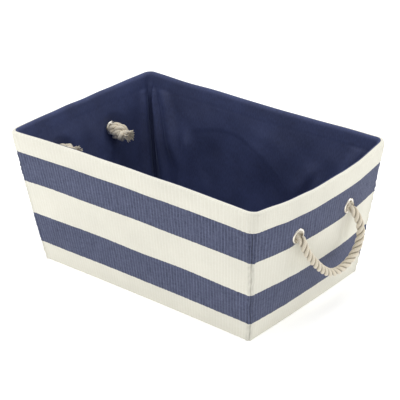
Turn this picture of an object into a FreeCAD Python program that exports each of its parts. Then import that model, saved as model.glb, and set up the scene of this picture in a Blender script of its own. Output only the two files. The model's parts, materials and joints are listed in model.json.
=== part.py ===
import FreeCAD, Part
import math
import os
import Sketcher

# Fabric storage bin with sloping walls and two rope handles.
# The cloth cover and the lining hang between a wire ring in the rim and a wire ring round
# the base, which four corner wires join. The origin is on the floor under the middle of the
# bin: +X runs along the bin to its right end, -Y is the front and +Z is up. Millimetres.

document = FreeCAD.newDocument("fabric_storage_bin")

# ---------------------------------------------------------------- driving dimensions
dimensions = {
    # the bin's own size
    "rim_length": 381.0,            # between the rim's corners, along X
    "rim_width": 258.0,             # between the rim's corners, along Y
    "total_height": 178.0,
    "end_taper": 24.5,              # each end wall leans out this far over the height
    "side_taper": 22.0,             # each long wall leans out this far over the height
    "end_bow_rim": 11.0,            # an end wall bulges past its own corners
    "end_bow_middle": 10.0,
    "end_bow_base": 1.5,
    "side_pull_rim": 4.0,           # a long wall is drawn in between its own corners
    "side_pull_middle": 2.5,
    "side_pull_base": 1.5,
    "corner_radius_rim": 18.0,
    "corner_radius_middle": 8.0,
    "corner_radius_base": 8.0,
    # cloth
    "cover_thickness": 1.5,
    "lining_thickness": 1.2,
    "lining_gap_middle": 0.7,       # air between cover and lining halfway up
    "lining_slack": 0.9,            # extra air beside the wires
    "lining_corner_ease": 14.0,     # the lining rounds the corners this much wider
    "binding_thickness": 1.0,
    "binding_drop": 26.0,           # how far the rim binding comes down outside
    # wire frame and board
    "wire_diameter": 3.5,
    "upright_step": 0.5,            # the corner wires are this much thinner than the rings
    "wire_clearance": 0.15,
    "board_thickness": 3.4,
    "board_clearance": 0.5,
    "board_corner_radius": 6.0,
    # eyelets
    "eyelet_below_rim": 60.0,       # centre below the rim's top, at the cloth's face
    "eyelet_spacing": 98.0,         # between the two eyelets of one end
    "rope_clearance": 0.4,          # air round the rope in an eyelet
    "eyelet_wall": 0.8,
    "flange_width": 3.3,
    "flange_thickness": 1.0,
    "flange_sink": 0.25,            # the flange presses this far into the cloth
    "washer_thickness": 0.8,
    "washer_sink": 0.35,
    "lip_thickness": 0.6,
    "lip_width": 1.0,
    "eyelet_clearance": 0.08,
    # rope
    "rope_diameter": 10.0,
    "joint_gap": 0.3,               # between a handle's end and the rope stub it turns on
    "knot_length": 25.0,
    "knot_diameter": 23.0,
    "knot_droop": 10.0,             # degrees below level
    "knot_gap": 0.2,
    "tail_length": 13.0,
    "tail_start_diameter": 10.6,
    "tail_end_diameter": 13.5,
}

sheet = document.addObject("Spreadsheet::Sheet", "dimensions")
for row, (alias, value) in enumerate(dimensions.items(), start=1):
    sheet.set(f"A{row}", alias)
    sheet.set(f"B{row}", str(value))
    sheet.setAlias(f"B{row}", alias)
document.recompute()

# One handle rope's route, chosen by hand: out from the wall, along the wall towards the
# back, and up, from the point midway between the two places where the rope leaves its
# eyelets. The rope starts and ends at those places.
handle_route = [
    (2.4, -46.0, -15.0),
    (3.9, -32.0, -34.0),
    (4.4, -15.0, -52.0),
    (4.4, 4.0, -64.5),
    (4.9, 26.0, -65.5),
    (5.9, 45.0, -57.0),
    (6.6, 57.5, -40.5),
    (5.5, 58.5, -20.0),
]

sub_parts = []


def cell(alias):
    """The way an expression names a cell of the sheet."""
    return f"<<dimensions>>.{alias}"


def number(expression):
    """The value of an expression, as a plain number."""
    value = sheet.evalExpression(expression)
    return float(getattr(value, "Value", value))


def named(label, thing):
    """Gives a finished sub-part its name and puts it on the list."""
    thing.Label = label
    sub_parts.append(thing)
    return thing


# ---------------------------------------------------------------- the bin's outline
# Every cross-section is four long arcs, the walls, joined by four tangent corner arcs.
# The same outline, moved in or out, gives the cover, the lining, the wires and the board.
total_height = cell("total_height")
floor_level = "0"
middle_level = f"{total_height} / 2"
rim_level = total_height


def blended(base, middle, rim, level):
    """A size at a height, from its values at the base, halfway up and at the rim."""
    rise = f"({level}) / ({total_height})"
    return (f"(({base}) * (1 - {rise}) * (1 - 2 * {rise})"
            f" + ({middle}) * 4 * {rise} * (1 - {rise})"
            f" + ({rim}) * {rise} * (2 * {rise} - 1))")


def leaning(rim_size, taper, level):
    """Half a length or width at a height: it grows evenly from the base to the rim."""
    return f"({rim_size} / 2 - {taper} * (1 - ({level}) / ({total_height})))"


def corner_radius(level):
    return blended(cell("corner_radius_base"), cell("corner_radius_middle"),
                   cell("corner_radius_rim"), level)


def outline_sizes(level, inset, radius):
    """Expressions for the centres and radii of an outline's arcs."""
    half_length = leaning(cell("rim_length"), cell("end_taper"), level)
    half_width = leaning(cell("rim_width"), cell("side_taper"), level)
    bow = blended(cell("end_bow_base"), cell("end_bow_middle"), cell("end_bow_rim"), level)
    pull = blended(cell("side_pull_base"), cell("side_pull_middle"), cell("side_pull_rim"), level)
    end_arc = f"(({half_width} ^ 2 + {bow} ^ 2) / (2 * {bow}))"
    side_arc = f"(({half_length} ^ 2 + {pull} ^ 2) / (2 * {pull}))"
    return {
        "end_centre": f"({end_arc} - {half_length} - {bow})",
        "end_radius": f"({end_arc} - ({inset}))",
        "side_centre": f"({side_arc} + {half_width} - {pull})",
        "side_radius": f"({side_arc} + ({inset}))",
        "corner": f"({radius})",
    }


def corner_centre(sizes):
    """Where the corner arc's centre lies, in the corner towards +X and +Y."""
    end_x = -number(sizes["end_centre"])
    side_y = number(sizes["side_centre"])
    corner = number(sizes["corner"])
    to_end = number(sizes["end_radius"]) - corner
    to_side = number(sizes["side_radius"]) + corner
    apart = math.hypot(end_x, side_y)
    along = (to_end ** 2 - to_side ** 2 + apart ** 2) / (2 * apart)
    across = math.sqrt(to_end ** 2 - along ** 2)
    unit = FreeCAD.Vector(-end_x, side_y, 0) / apart
    normal = FreeCAD.Vector(unit.y, -unit.x, 0)
    return FreeCAD.Vector(end_x, 0, 0) + unit * along + normal * across


def attach(sketch, body, plane, level="0"):
    """Lays a sketch on one of its body's origin planes, at a height above it."""
    origin_plane = [feature for feature in body.Origin.OriginFeatures if feature.Role == plane][0]
    sketch.AttachmentSupport = [(origin_plane, "")]
    sketch.MapMode = "FlatFace"
    sketch.setExpression(".AttachmentOffset.Base.z", level)


def sized(sketch, kind, *references, size):
    """Adds a constraint whose size is an expression."""
    index = sketch.addConstraint(Sketcher.Constraint(kind, *references, number(size)))
    sketch.setExpression(f"Constraints[{index}]", size)


def outline_sketch(body, name, level, inset, radius):
    """The bin's outline at a height, moved in by the inset, with its corners rounded."""
    sizes = outline_sizes(level, inset, radius)
    sketch = body.newObject("Sketcher::SketchObject", name)
    attach(sketch, body, "XY_Plane", level)
    end_x = number(sizes["end_centre"])
    side_y = number(sizes["side_centre"])
    end_radius = number(sizes["end_radius"])
    side_radius = number(sizes["side_radius"])
    corner = number(sizes["corner"])
    centre = corner_centre(sizes)
    up = FreeCAD.Vector(0, 0, 1)
    end_turn = math.atan2(centre.y, centre.x + end_x)
    side_turn = math.atan2(centre.x, side_y - centre.y)
    right, upper, left, lower = 0, math.pi / 2, math.pi, 3 * math.pi / 2

    def arc(x, y, arc_radius, start, stop):
        circle = Part.Circle(FreeCAD.Vector(x, y, 0), up, arc_radius)
        return sketch.addGeometry(Part.ArcOfCircle(circle, start, stop), False)

    # anticlockwise from the right end wall; a long wall's arc runs the other way round
    right_end = arc(-end_x, 0, end_radius, right - end_turn, right + end_turn)
    back_right = arc(centre.x, centre.y, corner, end_turn, upper - side_turn)
    back_side = arc(0, side_y, side_radius, lower - side_turn, lower + side_turn)
    back_left = arc(-centre.x, centre.y, corner, upper + side_turn, left - end_turn)
    left_end = arc(end_x, 0, end_radius, left - end_turn, left + end_turn)
    front_left = arc(-centre.x, -centre.y, corner, left + end_turn, lower - side_turn)
    front_side = arc(0, -side_y, side_radius, upper - side_turn, upper + side_turn)
    front_right = arc(centre.x, -centre.y, corner, lower + side_turn, 2 * math.pi - end_turn)

    first, last, middle, origin = 1, 2, 3, -1
    joins = [
        (right_end, last, back_right, first), (back_right, last, back_side, last),
        (back_side, first, back_left, first), (back_left, last, left_end, first),
        (left_end, last, front_left, first), (front_left, last, front_side, last),
        (front_side, first, front_right, first), (front_right, last, right_end, first),
    ]
    for join in joins:
        sketch.addConstraint(Sketcher.Constraint("Tangent", *join))
    for end in (right_end, left_end):
        sketch.addConstraint(Sketcher.Constraint("PointOnObject", end, middle, -1))
        sized(sketch, "Radius", end, size=sizes["end_radius"])
    for side in (back_side, front_side):
        sketch.addConstraint(Sketcher.Constraint("PointOnObject", side, middle, -2))
        sized(sketch, "Radius", side, size=sizes["side_radius"])
    for rounded in (back_right, back_left, front_left, front_right):
        sized(sketch, "Radius", rounded, size=sizes["corner"])
    sized(sketch, "DistanceX", right_end, middle, origin, 1, size=sizes["end_centre"])
    sized(sketch, "DistanceX", origin, 1, left_end, middle, size=sizes["end_centre"])
    sized(sketch, "DistanceY", origin, 1, back_side, middle, size=sizes["side_centre"])
    sized(sketch, "DistanceY", front_side, middle, origin, 1, size=sizes["side_centre"])
    return sketch


def block(name, insets, ease="0"):
    """A solid block of the bin's shape, moved in at the base, halfway up and at the rim."""
    body = document.addObject("PartDesign::Body", name)
    sketches = []
    for level, inset in zip((floor_level, middle_level, rim_level), insets):
        if ease == "0":
            radius = f"{corner_radius(level)} - ({inset})"
        else:
            radius = f"{corner_radius(level)} + {ease} - ({inset})"
        sketches.append(outline_sketch(body, f"{name}_level_{len(sketches)}", level, inset, radius))
    loft = body.newObject("PartDesign::AdditiveLoft", f"{name}_loft")
    loft.Profile = sketches[0]
    loft.Sections = sketches[1:]
    loft.Ruled = False
    body.Tip = loft
    return body


cover_thickness = cell("cover_thickness")
lining_thickness = cell("lining_thickness")
binding_thickness = cell("binding_thickness")
wire_space = f"({cell('wire_diameter')} + 2 * {cell('wire_clearance')})"
beside_wire = f"{cover_thickness} + {wire_space} + {cell('lining_slack')}"
halfway_up = f"{cover_thickness} + {cell('lining_gap_middle')}"
lining_insets = [beside_wire, halfway_up, beside_wire]
cavity_insets = [f"{inset} + {lining_thickness}" for inset in lining_insets]

binding_block = block("binding_block", [f"-{binding_thickness}"] * 3)
cover_block = block("cover_block", ["0"] * 3)
cover_inside = block("cover_inside", [cover_thickness] * 3)
lining_block = block("lining_block", lining_insets, cell("lining_corner_ease"))
cavity_block = block("cavity_block", cavity_insets, cell("lining_corner_ease"))
document.recompute()


# ---------------------------------------------------------------- tools that cut
def slab(name, bottom, top):
    """A wide flat box between two heights."""
    box = document.addObject("Part::Box", name)
    margin = 40
    box.setExpression("Length", f"{cell('rim_length')} + 2 * {margin}")
    box.setExpression("Width", f"{cell('rim_width')} + 2 * {margin}")
    box.setExpression("Height", f"({top}) - ({bottom})")
    box.setExpression(".Placement.Base.x", f"-{cell('rim_length')} / 2 - {margin}")
    box.setExpression(".Placement.Base.y", f"-{cell('rim_width')} / 2 - {margin}")
    box.setExpression(".Placement.Base.z", bottom)
    return box


def polygon_sketch(body, name, level, points):
    """A closed outline of straight lines through points given as expressions."""
    sketch = body.newObject("Sketcher::SketchObject", name)
    attach(sketch, body, "XY_Plane", level)
    places = [FreeCAD.Vector(number(x), number(y), 0) for x, y in points]
    for index, place in enumerate(places):
        following = places[(index + 1) % len(places)]
        sketch.addGeometry(Part.LineSegment(place, following), False)
    for index in range(len(places)):
        following = (index + 1) % len(places)
        sketch.addConstraint(Sketcher.Constraint("Coincident", index, 2, following, 1))
    for index, (x, y) in enumerate(points):
        for kind, size, axis in (("DistanceX", x, -2), ("DistanceY", y, -1)):
            if number(size) > 0:
                sized(sketch, kind, -1, 1, index, 1, size=size)
            elif number(size) < 0:
                sized(sketch, kind, index, 1, -1, 1, size=f"-({size})")
            else:
                sketch.addConstraint(Sketcher.Constraint("PointOnObject", index, 1, axis))
    return sketch


def sector(name, points):
    """An upright prism that holds one wall of the bin, mitred at its corners."""
    body = document.addObject("PartDesign::Body", name)
    sketch = polygon_sketch(body, f"{name}_outline", "-10", points)
    pad = body.newObject("PartDesign::Pad", f"{name}_pad")
    pad.Profile = sketch
    pad.setExpression("Length", f"{total_height} + 20")
    body.Tip = pad
    return body


# the mitre planes hold the slanting corner edges
slope = f"({cell('side_taper')} / {cell('end_taper')})"
mitre_start = f"({cell('rim_length')} / 2 - {cell('rim_width')} / 2 / {slope})"
far_x = f"({cell('rim_length')} / 2 + 40)"
far_y = f"({cell('rim_width')} / 2 + 40 * {slope})"
sectors = {
    "front": sector("front_sector", [(f"-{mitre_start}", "0"), (f"-{far_x}", f"-{far_y}"),
                                     (far_x, f"-{far_y}"), (mitre_start, "0")]),
    "back": sector("back_sector", [(mitre_start, "0"), (far_x, far_y),
                                   (f"-{far_x}", far_y), (f"-{mitre_start}", "0")]),
    "left": sector("left_sector", [(f"-{mitre_start}", "0"), (f"-{far_x}", far_y),
                                   (f"-{far_x}", f"-{far_y}")]),
    "right": sector("right_sector", [(mitre_start, "0"), (far_x, f"-{far_y}"), (far_x, far_y)]),
}
document.recompute()


def cut(name, base, tool):
    result = document.addObject("Part::Cut", name)
    result.Base = base
    result.Tool = tool
    return result


def common(name, *shapes):
    result = document.addObject("Part::MultiCommon", name)
    result.Shapes = list(shapes)
    return result


def fused(name, *shapes):
    result = document.addObject("Part::MultiFuse", name)
    result.Shapes = list(shapes)
    return result


# ---------------------------------------------------------------- eyelet places
def end_wall_x(shape, side, y, z):
    """How far out a block's end wall is, at a place across it and a height."""
    reach = number(cell("rim_length"))
    probe = Part.makeLine(FreeCAD.Vector(0, y, z), FreeCAD.Vector(side * reach, y, z))
    return max((vertex.X * side for vertex in probe.common(shape).Vertexes)) * side


def outward(shape, side, y, z):
    """The end wall's outward direction there, from points 1 mm to each side."""
    across = (end_wall_x(shape, side, y + 1, z) - end_wall_x(shape, side, y - 1, z)) / 2
    upward = (end_wall_x(shape, side, y, z + 1) - end_wall_x(shape, side, y, z - 1)) / 2
    return FreeCAD.Vector(side, -across * side, -upward * side).normalize()


def through(point, direction, shape):
    """How far inwards from the point a line leaves the wall through the block's face."""
    probe = Part.makeLine(point, point - direction * 30)
    inside = probe.common(shape).Vertexes
    return min((vertex.Point - point).Length for vertex in inside)


eyelets = {}
for end_name, side in (("left", -1), ("right", 1)):
    for place_name, across in (("front", -1), ("back", 1)):
        y = across * number(cell("eyelet_spacing")) / 2
        z = number(f"{total_height} - {cell('eyelet_below_rim')}")
        x = end_wall_x(cover_block.Shape, side, y, z)
        point = FreeCAD.Vector(x, y, z)
        direction = outward(cover_block.Shape, side, y, z)
        eyelets[end_name, place_name] = {
            "side": side,
            "point": point,
            "direction": direction,
            "turn": FreeCAD.Rotation(FreeCAD.Vector(0, 0, 1), direction),
            "wall": through(point, direction, cavity_block.Shape),
        }


def on_eyelet(eyelet, offset):
    """A placement on the eyelet's axis, offset outwards, with Z along the axis."""
    return FreeCAD.Placement(eyelet["point"] + eyelet["direction"] * offset, eyelet["turn"])


def axis_cylinder(name, eyelet, radius, bottom, top):
    """A cylinder on the eyelet's axis between two distances from the cloth's face."""
    cylinder = document.addObject("Part::Cylinder", name)
    cylinder.setExpression("Radius", radius)
    cylinder.Height = top - bottom
    cylinder.Placement = on_eyelet(eyelet, bottom)
    return cylinder


bore = f"({cell('rope_diameter')} / 2 + {cell('rope_clearance')})"
barrel_radius = f"({bore} + {cell('eyelet_wall')})"
flange_edge = f"({barrel_radius} + {cell('flange_width')})"
hole_radius = f"({barrel_radius} + {cell('eyelet_clearance')})"
seat_radius = f"({flange_edge} + {cell('eyelet_clearance')})"


def eyelet_cutter(name, end_name):
    """What both cloths lose at one end: two holes and the seats of flanges and washers."""
    pieces = []
    for place_name in ("front", "back"):
        eyelet = eyelets[end_name, place_name]
        wall = eyelet["wall"]
        prefix = f"{name}_{place_name}"
        pieces.append(axis_cylinder(f"{prefix}_hole", eyelet, hole_radius, -wall - 5, 5))
        pieces.append(axis_cylinder(f"{prefix}_flange", eyelet, seat_radius,
                                    -number(cell("flange_sink")), 5))
        pieces.append(axis_cylinder(f"{prefix}_washer", eyelet, seat_radius,
                                    -wall - 5, -wall + number(cell("washer_sink"))))
    return fused(name, *pieces)


# ---------------------------------------------------------------- cover and lining
cover_top = f"{total_height} - {binding_thickness}"
board_space = f"({cell('board_thickness')} + {cell('wire_clearance')})"
floor_bottom = f"({cover_thickness} + max({wire_space}; {board_space}))"
floor_top = f"{floor_bottom} + {lining_thickness}"
cover_walls = cut("cover_walls", cover_block, cover_inside)
cover_span = slab("cover_span", "0", cover_top)
lining_walls = cut("lining_walls", lining_block, cavity_block)
lining_span = slab("lining_span", floor_top, total_height)

for wall_name, wall_sector in sectors.items():
    cover_part = common(f"{wall_name}_cover_cloth", cover_walls, wall_sector, cover_span)
    lining_part = common(f"{wall_name}_lining_cloth", lining_walls, wall_sector, lining_span)
    if wall_name in ("left", "right"):
        cutter = eyelet_cutter(f"{wall_name}_eyelet_cutter", wall_name)
        cover_part = cut(f"{wall_name}_cover_pierced", cover_part, cutter)
        lining_part = cut(f"{wall_name}_lining_pierced", lining_part, cutter)
        named(f"{wall_name}_end_panel", cover_part)
    else:
        named(f"{wall_name}_panel", cover_part)
    named(f"lining_{wall_name}", lining_part)

base_span = slab("base_span", "0", cover_thickness)
named("base_cover", common("base_cloth", cover_inside, base_span))
floor_span = slab("floor_span", floor_bottom, floor_top)
named("lining_floor", common("floor_cloth", lining_block, floor_span))

# the binding wraps the rim: a band outside the cover and a cap over wire and cloth
binding_span = slab("binding_span", f"{total_height} - {cell('binding_drop')}", total_height)
band_span = slab("band_span", f"{total_height} - {cell('binding_drop')} - 10", cover_top)
band = common("binding_stock", binding_block, binding_span)
covered = common("covered_rim", cover_block, band_span)
hollow_band = cut("binding_band", band, covered)
named("rim_binding", cut("binding_ring", hollow_band, lining_block))


# ---------------------------------------------------------------- wire frame and board
wire_radius = f"{cell('wire_diameter')} / 2"
wire_inset = f"{cover_thickness} + {cell('wire_clearance')} + {wire_radius}"
rim_wire_level = f"({total_height} - {binding_thickness} - {cell('wire_clearance')} - {wire_radius})"
base_wire_level = f"({cover_thickness} + {cell('wire_clearance')} + {wire_radius})"


def ring(name, level):
    """A closed wire ring that follows the bin's outline inside the cover."""
    body = document.addObject("PartDesign::Body", name)
    radius = f"{corner_radius(level)} - ({wire_inset})"
    spine = outline_sketch(body, f"{name}_path", level, wire_inset, radius)
    document.recompute()
    section = body.newObject("Sketcher::SketchObject", f"{name}_section")
    section.AttachmentSupport = [(spine, "Edge1"), (spine, "Vertex1")]
    section.MapMode = "NormalToEdge"
    circle = Part.Circle(FreeCAD.Vector(0, 0, 0), FreeCAD.Vector(0, 0, 1), number(wire_radius))
    section.addGeometry(circle, False)
    section.addConstraint(Sketcher.Constraint("Coincident", 0, 3, -1, 1))
    sized(section, "Radius", 0, size=wire_radius)
    pipe = body.newObject("PartDesign::AdditivePipe", f"{name}_pipe")
    pipe.Profile = section
    pipe.Spine = spine
    body.Tip = pipe
    return named(name, body)


def ring_corner(level):
    """The middle of a wire ring's rounded corner, towards +X and +Y."""
    sizes = outline_sizes(level, wire_inset, f"{corner_radius(level)} - ({wire_inset})")
    centre = corner_centre(sizes)
    end_turn = math.atan2(centre.y, centre.x + number(sizes["end_centre"]))
    side_turn = math.atan2(centre.x, number(sizes["side_centre"]) - centre.y)
    halfway = (end_turn + math.pi / 2 - side_turn) / 2
    out = FreeCAD.Vector(math.cos(halfway), math.sin(halfway), 0)
    place = centre + out * number(sizes["corner"])
    return FreeCAD.Vector(place.x, place.y, number(level))


rim_wire = ring("rim_wire", rim_wire_level)
base_wire = ring("base_wire", base_wire_level)
wire_foot = ring_corner(base_wire_level)
wire_head = ring_corner(rim_wire_level)
for corner_name, x_side, y_side in (("front_left", -1, -1), ("front_right", 1, -1),
                                    ("back_left", -1, 1), ("back_right", 1, 1)):
    foot = FreeCAD.Vector(wire_foot.x * x_side, wire_foot.y * y_side, wire_foot.z)
    head = FreeCAD.Vector(wire_head.x * x_side, wire_head.y * y_side, wire_head.z)
    rod = document.addObject("Part::Cylinder", f"{corner_name}_rod")
    rod.setExpression("Radius", f"({cell('wire_diameter')} - {cell('upright_step')}) / 2")
    rod.Height = (head - foot).Length
    rod.Placement = FreeCAD.Placement(foot, FreeCAD.Rotation(FreeCAD.Vector(0, 0, 1), head - foot))
    coped = cut(f"{corner_name}_coped_foot", rod, base_wire)
    named(f"corner_wire_{corner_name}", cut(f"{corner_name}_coped_head", coped, rim_wire))

board_inset = f"{cover_thickness} + {wire_space} + {cell('board_clearance')}"
board = document.addObject("PartDesign::Body", "board")
board_outline = outline_sketch(board, "board_outline", floor_level, board_inset,
                               cell("board_corner_radius"))
board_outline.setExpression(".AttachmentOffset.Base.z", cover_thickness)
board_pad = board.newObject("PartDesign::Pad", "board_pad")
board_pad.Profile = board_outline
board_pad.setExpression("Length", cell("board_thickness"))
board.Tip = board_pad
named("base_board", board)


# ---------------------------------------------------------------- eyelets and washers
def turned(name, profile):
    """A ring turned about Z from a profile of (radius, height) expressions."""
    body = document.addObject("PartDesign::Body", name)
    sketch = body.newObject("Sketcher::SketchObject", f"{name}_profile")
    attach(sketch, body, "XZ_Plane")
    places = [FreeCAD.Vector(number(radius), number(height), 0) for radius, height in profile]
    for index, place in enumerate(places):
        following = places[(index + 1) % len(places)]
        sketch.addGeometry(Part.LineSegment(place, following), False)
    for index in range(len(places)):
        following = (index + 1) % len(places)
        sketch.addConstraint(Sketcher.Constraint("Coincident", index, 2, following, 1))
    for index, (radius, height) in enumerate(profile):
        sized(sketch, "DistanceX", -1, 1, index, 1, size=radius)
        if number(height) > 0:
            sized(sketch, "DistanceY", -1, 1, index, 1, size=height)
        elif number(height) < 0:
            sized(sketch, "DistanceY", index, 1, -1, 1, size=f"-({height})")
        else:
            sketch.addConstraint(Sketcher.Constraint("PointOnObject", index, 1, -1))
    revolution = body.newObject("PartDesign::Revolution", f"{name}_turn")
    revolution.Profile = sketch
    revolution.ReferenceAxis = (sketch, ["V_Axis"])
    revolution.Angle = 360
    body.Tip = revolution
    return body


chamfer = f"{cell('flange_thickness')} / 2"
for (end_name, place_name), eyelet in eyelets.items():
    # heights are from the cloth's outer face; the washer lies sunk in the lining
    flange_back = f"-{cell('flange_sink')}"
    flange_front = f"({cell('flange_thickness')} - {cell('flange_sink')})"
    washer_back = f"({-eyelet['wall']} + {cell('washer_sink')})"
    washer_front = f"({washer_back} - {cell('washer_thickness')})"
    barrel_end = f"({washer_front} - {cell('lip_thickness')})"
    lip_edge = f"({barrel_radius} + {cell('lip_width')})"
    metal = turned(f"{end_name}_eyelet_{place_name}_body", [
        (bore, flange_front),
        (f"{flange_edge} - {chamfer}", flange_front),
        (flange_edge, f"{flange_front} - {chamfer}"),
        (flange_edge, flange_back),
        (barrel_radius, flange_back),
        (barrel_radius, washer_front),
        (lip_edge, washer_front),
        (lip_edge, barrel_end),
        (bore, barrel_end),
    ])
    metal.Placement = on_eyelet(eyelet, 0)
    named(f"{end_name}_eyelet_{place_name}", metal)
    washer = turned(f"{end_name}_washer_{place_name}_body", [
        (hole_radius, washer_back),
        (flange_edge, washer_back),
        (flange_edge, washer_front),
        (hole_radius, washer_front),
    ])
    washer.Placement = on_eyelet(eyelet, 0)
    named(f"{end_name}_washer_{place_name}", washer)
    eyelet["inner_face"] = number(barrel_end)
    eyelet["outer_face"] = number(flange_front)


# ---------------------------------------------------------------- knots
rope_radius = number(cell("rope_diameter")) / 2
droop = math.radians(number(cell("knot_droop")))
for (end_name, place_name), eyelet in eyelets.items():
    name = f"{end_name}_knot_{place_name}"
    into_bin = FreeCAD.Vector(-eyelet["side"] * math.cos(droop), 0, -math.sin(droop))
    lean = into_bin.getAngle(-eyelet["direction"])
    half_length = number(cell("knot_length")) / 2
    half_width = number(cell("knot_diameter")) / 2
    reach = math.hypot(half_length * math.cos(lean), half_width * math.sin(lean))
    middle = eyelet["inner_face"] - number(cell("knot_gap")) - reach
    centre = eyelet["point"] + eyelet["direction"] * middle
    turn = FreeCAD.Rotation(FreeCAD.Vector(0, 0, 1), into_bin)
    knot = document.addObject("Part::Ellipsoid", f"{name}_turns")
    knot.setExpression("Radius1", f"{cell('knot_length')} / 2")
    knot.setExpression("Radius2", f"{cell('knot_diameter')} / 2")
    knot.setExpression("Radius3", f"{cell('knot_diameter')} / 2")
    knot.Placement = FreeCAD.Placement(centre, turn)
    tail = document.addObject("Part::Cone", f"{name}_tail")
    tail.setExpression("Radius1", f"{cell('tail_start_diameter')} / 2")
    tail.setExpression("Radius2", f"{cell('tail_end_diameter')} / 2")
    tail.setExpression("Height", f"{cell('knot_length')} / 2 + {cell('tail_length')}")
    tail.Placement = FreeCAD.Placement(centre, turn)
    stub = axis_cylinder(f"{name}_stub", eyelet, f"{cell('rope_diameter')} / 2", middle,
                         eyelet["outer_face"])
    named(name, fused(f"{name}_rope", stub, knot, tail))


# ---------------------------------------------------------------- rope handles
def rounded_path(points):
    """Straight runs joined by tangent arcs, each as large as its two runs allow."""
    edges = []
    radii = []
    start = points[0]
    for before, corner, after in zip(points, points[1:], points[2:]):
        to_corner = corner - before
        from_corner = after - corner
        turn = to_corner.getAngle(from_corner)
        cut_back = 0.45 * min(to_corner.Length, from_corner.Length)
        radii.append(cut_back / math.tan(turn / 2))
        arc_start = corner - FreeCAD.Vector(to_corner).normalize() * cut_back
        arc_end = corner + FreeCAD.Vector(from_corner).normalize() * cut_back
        bisector = (arc_start + arc_end) / 2 - corner
        sagitta = radii[-1] * (1 / math.cos(turn / 2) - 1)
        arc_middle = corner + FreeCAD.Vector(bisector).normalize() * sagitta
        edges.append(Part.LineSegment(start, arc_start).toShape())
        edges.append(Part.Arc(arc_start, arc_middle, arc_end).toShape())
        start = arc_end
    edges.append(Part.LineSegment(start, points[-1]).toShape())
    return Part.Wire(edges), radii


def rope_shape(points):
    """A round rope along the route, with a ball at each end where it turns."""
    path, radii = rounded_path(points)
    heading = points[1] - points[0]
    section = Part.Wire(Part.makeCircle(rope_radius, points[0], heading))
    tube = path.makePipeShell([section], True, True)
    expected = math.pi * rope_radius ** 2 * path.Length
    print("rope length", round(path.Length, 1), "bend radii", [round(radius, 1) for radius in radii],
          "volume against section times length", round(tube.Volume / expected, 4))
    balls = [Part.makeSphere(rope_radius, points[0]), Part.makeSphere(rope_radius, points[-1])]
    return tube.fuse(balls).removeSplitter()


for end_name, side in (("left", -1), ("right", 1)):
    # each end turns on a point just outside its eyelet, clear of the rope stub in it
    front = eyelets[end_name, "front"]
    back = eyelets[end_name, "back"]
    stand_off = front["outer_face"] + number(cell("joint_gap")) + rope_radius
    front_pivot = front["point"] + front["direction"] * stand_off
    back_pivot = back["point"] + back["direction"] * stand_off
    midway = (front_pivot + back_pivot) / 2
    route = [midway + FreeCAD.Vector(side * out, along, up) for out, along, up in handle_route]
    handle = document.addObject("Part::Feature", f"{end_name}_handle")
    handle.Shape = rope_shape([front_pivot, *route, back_pivot])
    handle.Placement = FreeCAD.Placement()
    named(f"{end_name}_handle_rope", handle)
    print(end_name, "handle turns about the line through", front_pivot, back_pivot)


# ---------------------------------------------------------------- check and write
document.recompute()
faults = [thing.Name for thing in document.Objects
          if "Invalid" in thing.State or "Error" in thing.State]
for thing in sub_parts:
    shape = thing.Shape
    if shape.isNull() or not shape.isValid() or not shape.Solids:
        faults.append(thing.Label)
if faults:
    raise RuntimeError("these failed to build: " + ", ".join(faults))

os.makedirs("parts", exist_ok=True)
for thing in sub_parts:
    thing.Shape.exportStep(f"parts/{thing.Label}.step")
    print(f"{thing.Label}: {len(thing.Shape.Solids)} solid, {thing.Shape.Volume / 1000:.2f} cm3")
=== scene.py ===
import json
import math
import random

import bmesh
import bpy
import numpy as np
from mathutils import Matrix, Vector


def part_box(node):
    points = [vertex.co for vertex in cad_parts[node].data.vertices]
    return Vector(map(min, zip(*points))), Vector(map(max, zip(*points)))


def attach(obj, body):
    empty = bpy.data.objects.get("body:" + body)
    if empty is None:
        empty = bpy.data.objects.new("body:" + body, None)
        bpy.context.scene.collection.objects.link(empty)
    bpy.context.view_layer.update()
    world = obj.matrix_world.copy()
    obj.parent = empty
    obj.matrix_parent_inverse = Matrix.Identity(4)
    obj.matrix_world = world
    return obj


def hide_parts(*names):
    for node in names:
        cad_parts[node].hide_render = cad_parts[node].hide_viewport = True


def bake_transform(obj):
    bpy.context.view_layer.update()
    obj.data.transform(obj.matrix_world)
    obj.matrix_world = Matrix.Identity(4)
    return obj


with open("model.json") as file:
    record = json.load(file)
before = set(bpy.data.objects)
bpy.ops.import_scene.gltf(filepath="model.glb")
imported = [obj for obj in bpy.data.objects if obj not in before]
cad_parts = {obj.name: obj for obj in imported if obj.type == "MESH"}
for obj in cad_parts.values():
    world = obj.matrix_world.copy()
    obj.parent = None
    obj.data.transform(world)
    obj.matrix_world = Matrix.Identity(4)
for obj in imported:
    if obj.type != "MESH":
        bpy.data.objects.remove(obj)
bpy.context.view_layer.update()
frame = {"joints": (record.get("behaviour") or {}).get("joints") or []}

mm = 0.001
deg = math.pi / 180
mergeDistance = 0.00001
bpy.ops.object.select_all(action="DESELECT")   # the CAD nodes come in selected

# the bin's own shape: the walls are wide arcs between rounded corners, sloping outwards
binShape = {
    "rimLength": 381 * mm, "rimWidth": 258 * mm,      # between the rim's corners
    "endTaper": 24.5 * mm, "sideTaper": 22 * mm,      # how far the walls lean out
    "endBow": (1.5 * mm, 10 * mm, 11 * mm),           # at the base, halfway up, at the rim
    "sidePull": (1.5 * mm, 2.5 * mm, 4 * mm),
    "cornerRadius": (4.5 * mm, 4.5 * mm, 14 * mm),
    "endDroop": 5.5 * mm,                             # the rim dips in the middle of each end
}
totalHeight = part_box("rim_binding")[1][2]
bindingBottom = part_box("rim_binding")[0][2]
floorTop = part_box("lining_floor")[1][2]
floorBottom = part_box("lining_floor")[0][2]
handlePivot = {joint["name"].split("_")[0]: Vector(joint["pos_m"]) for joint in frame["joints"]}


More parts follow.
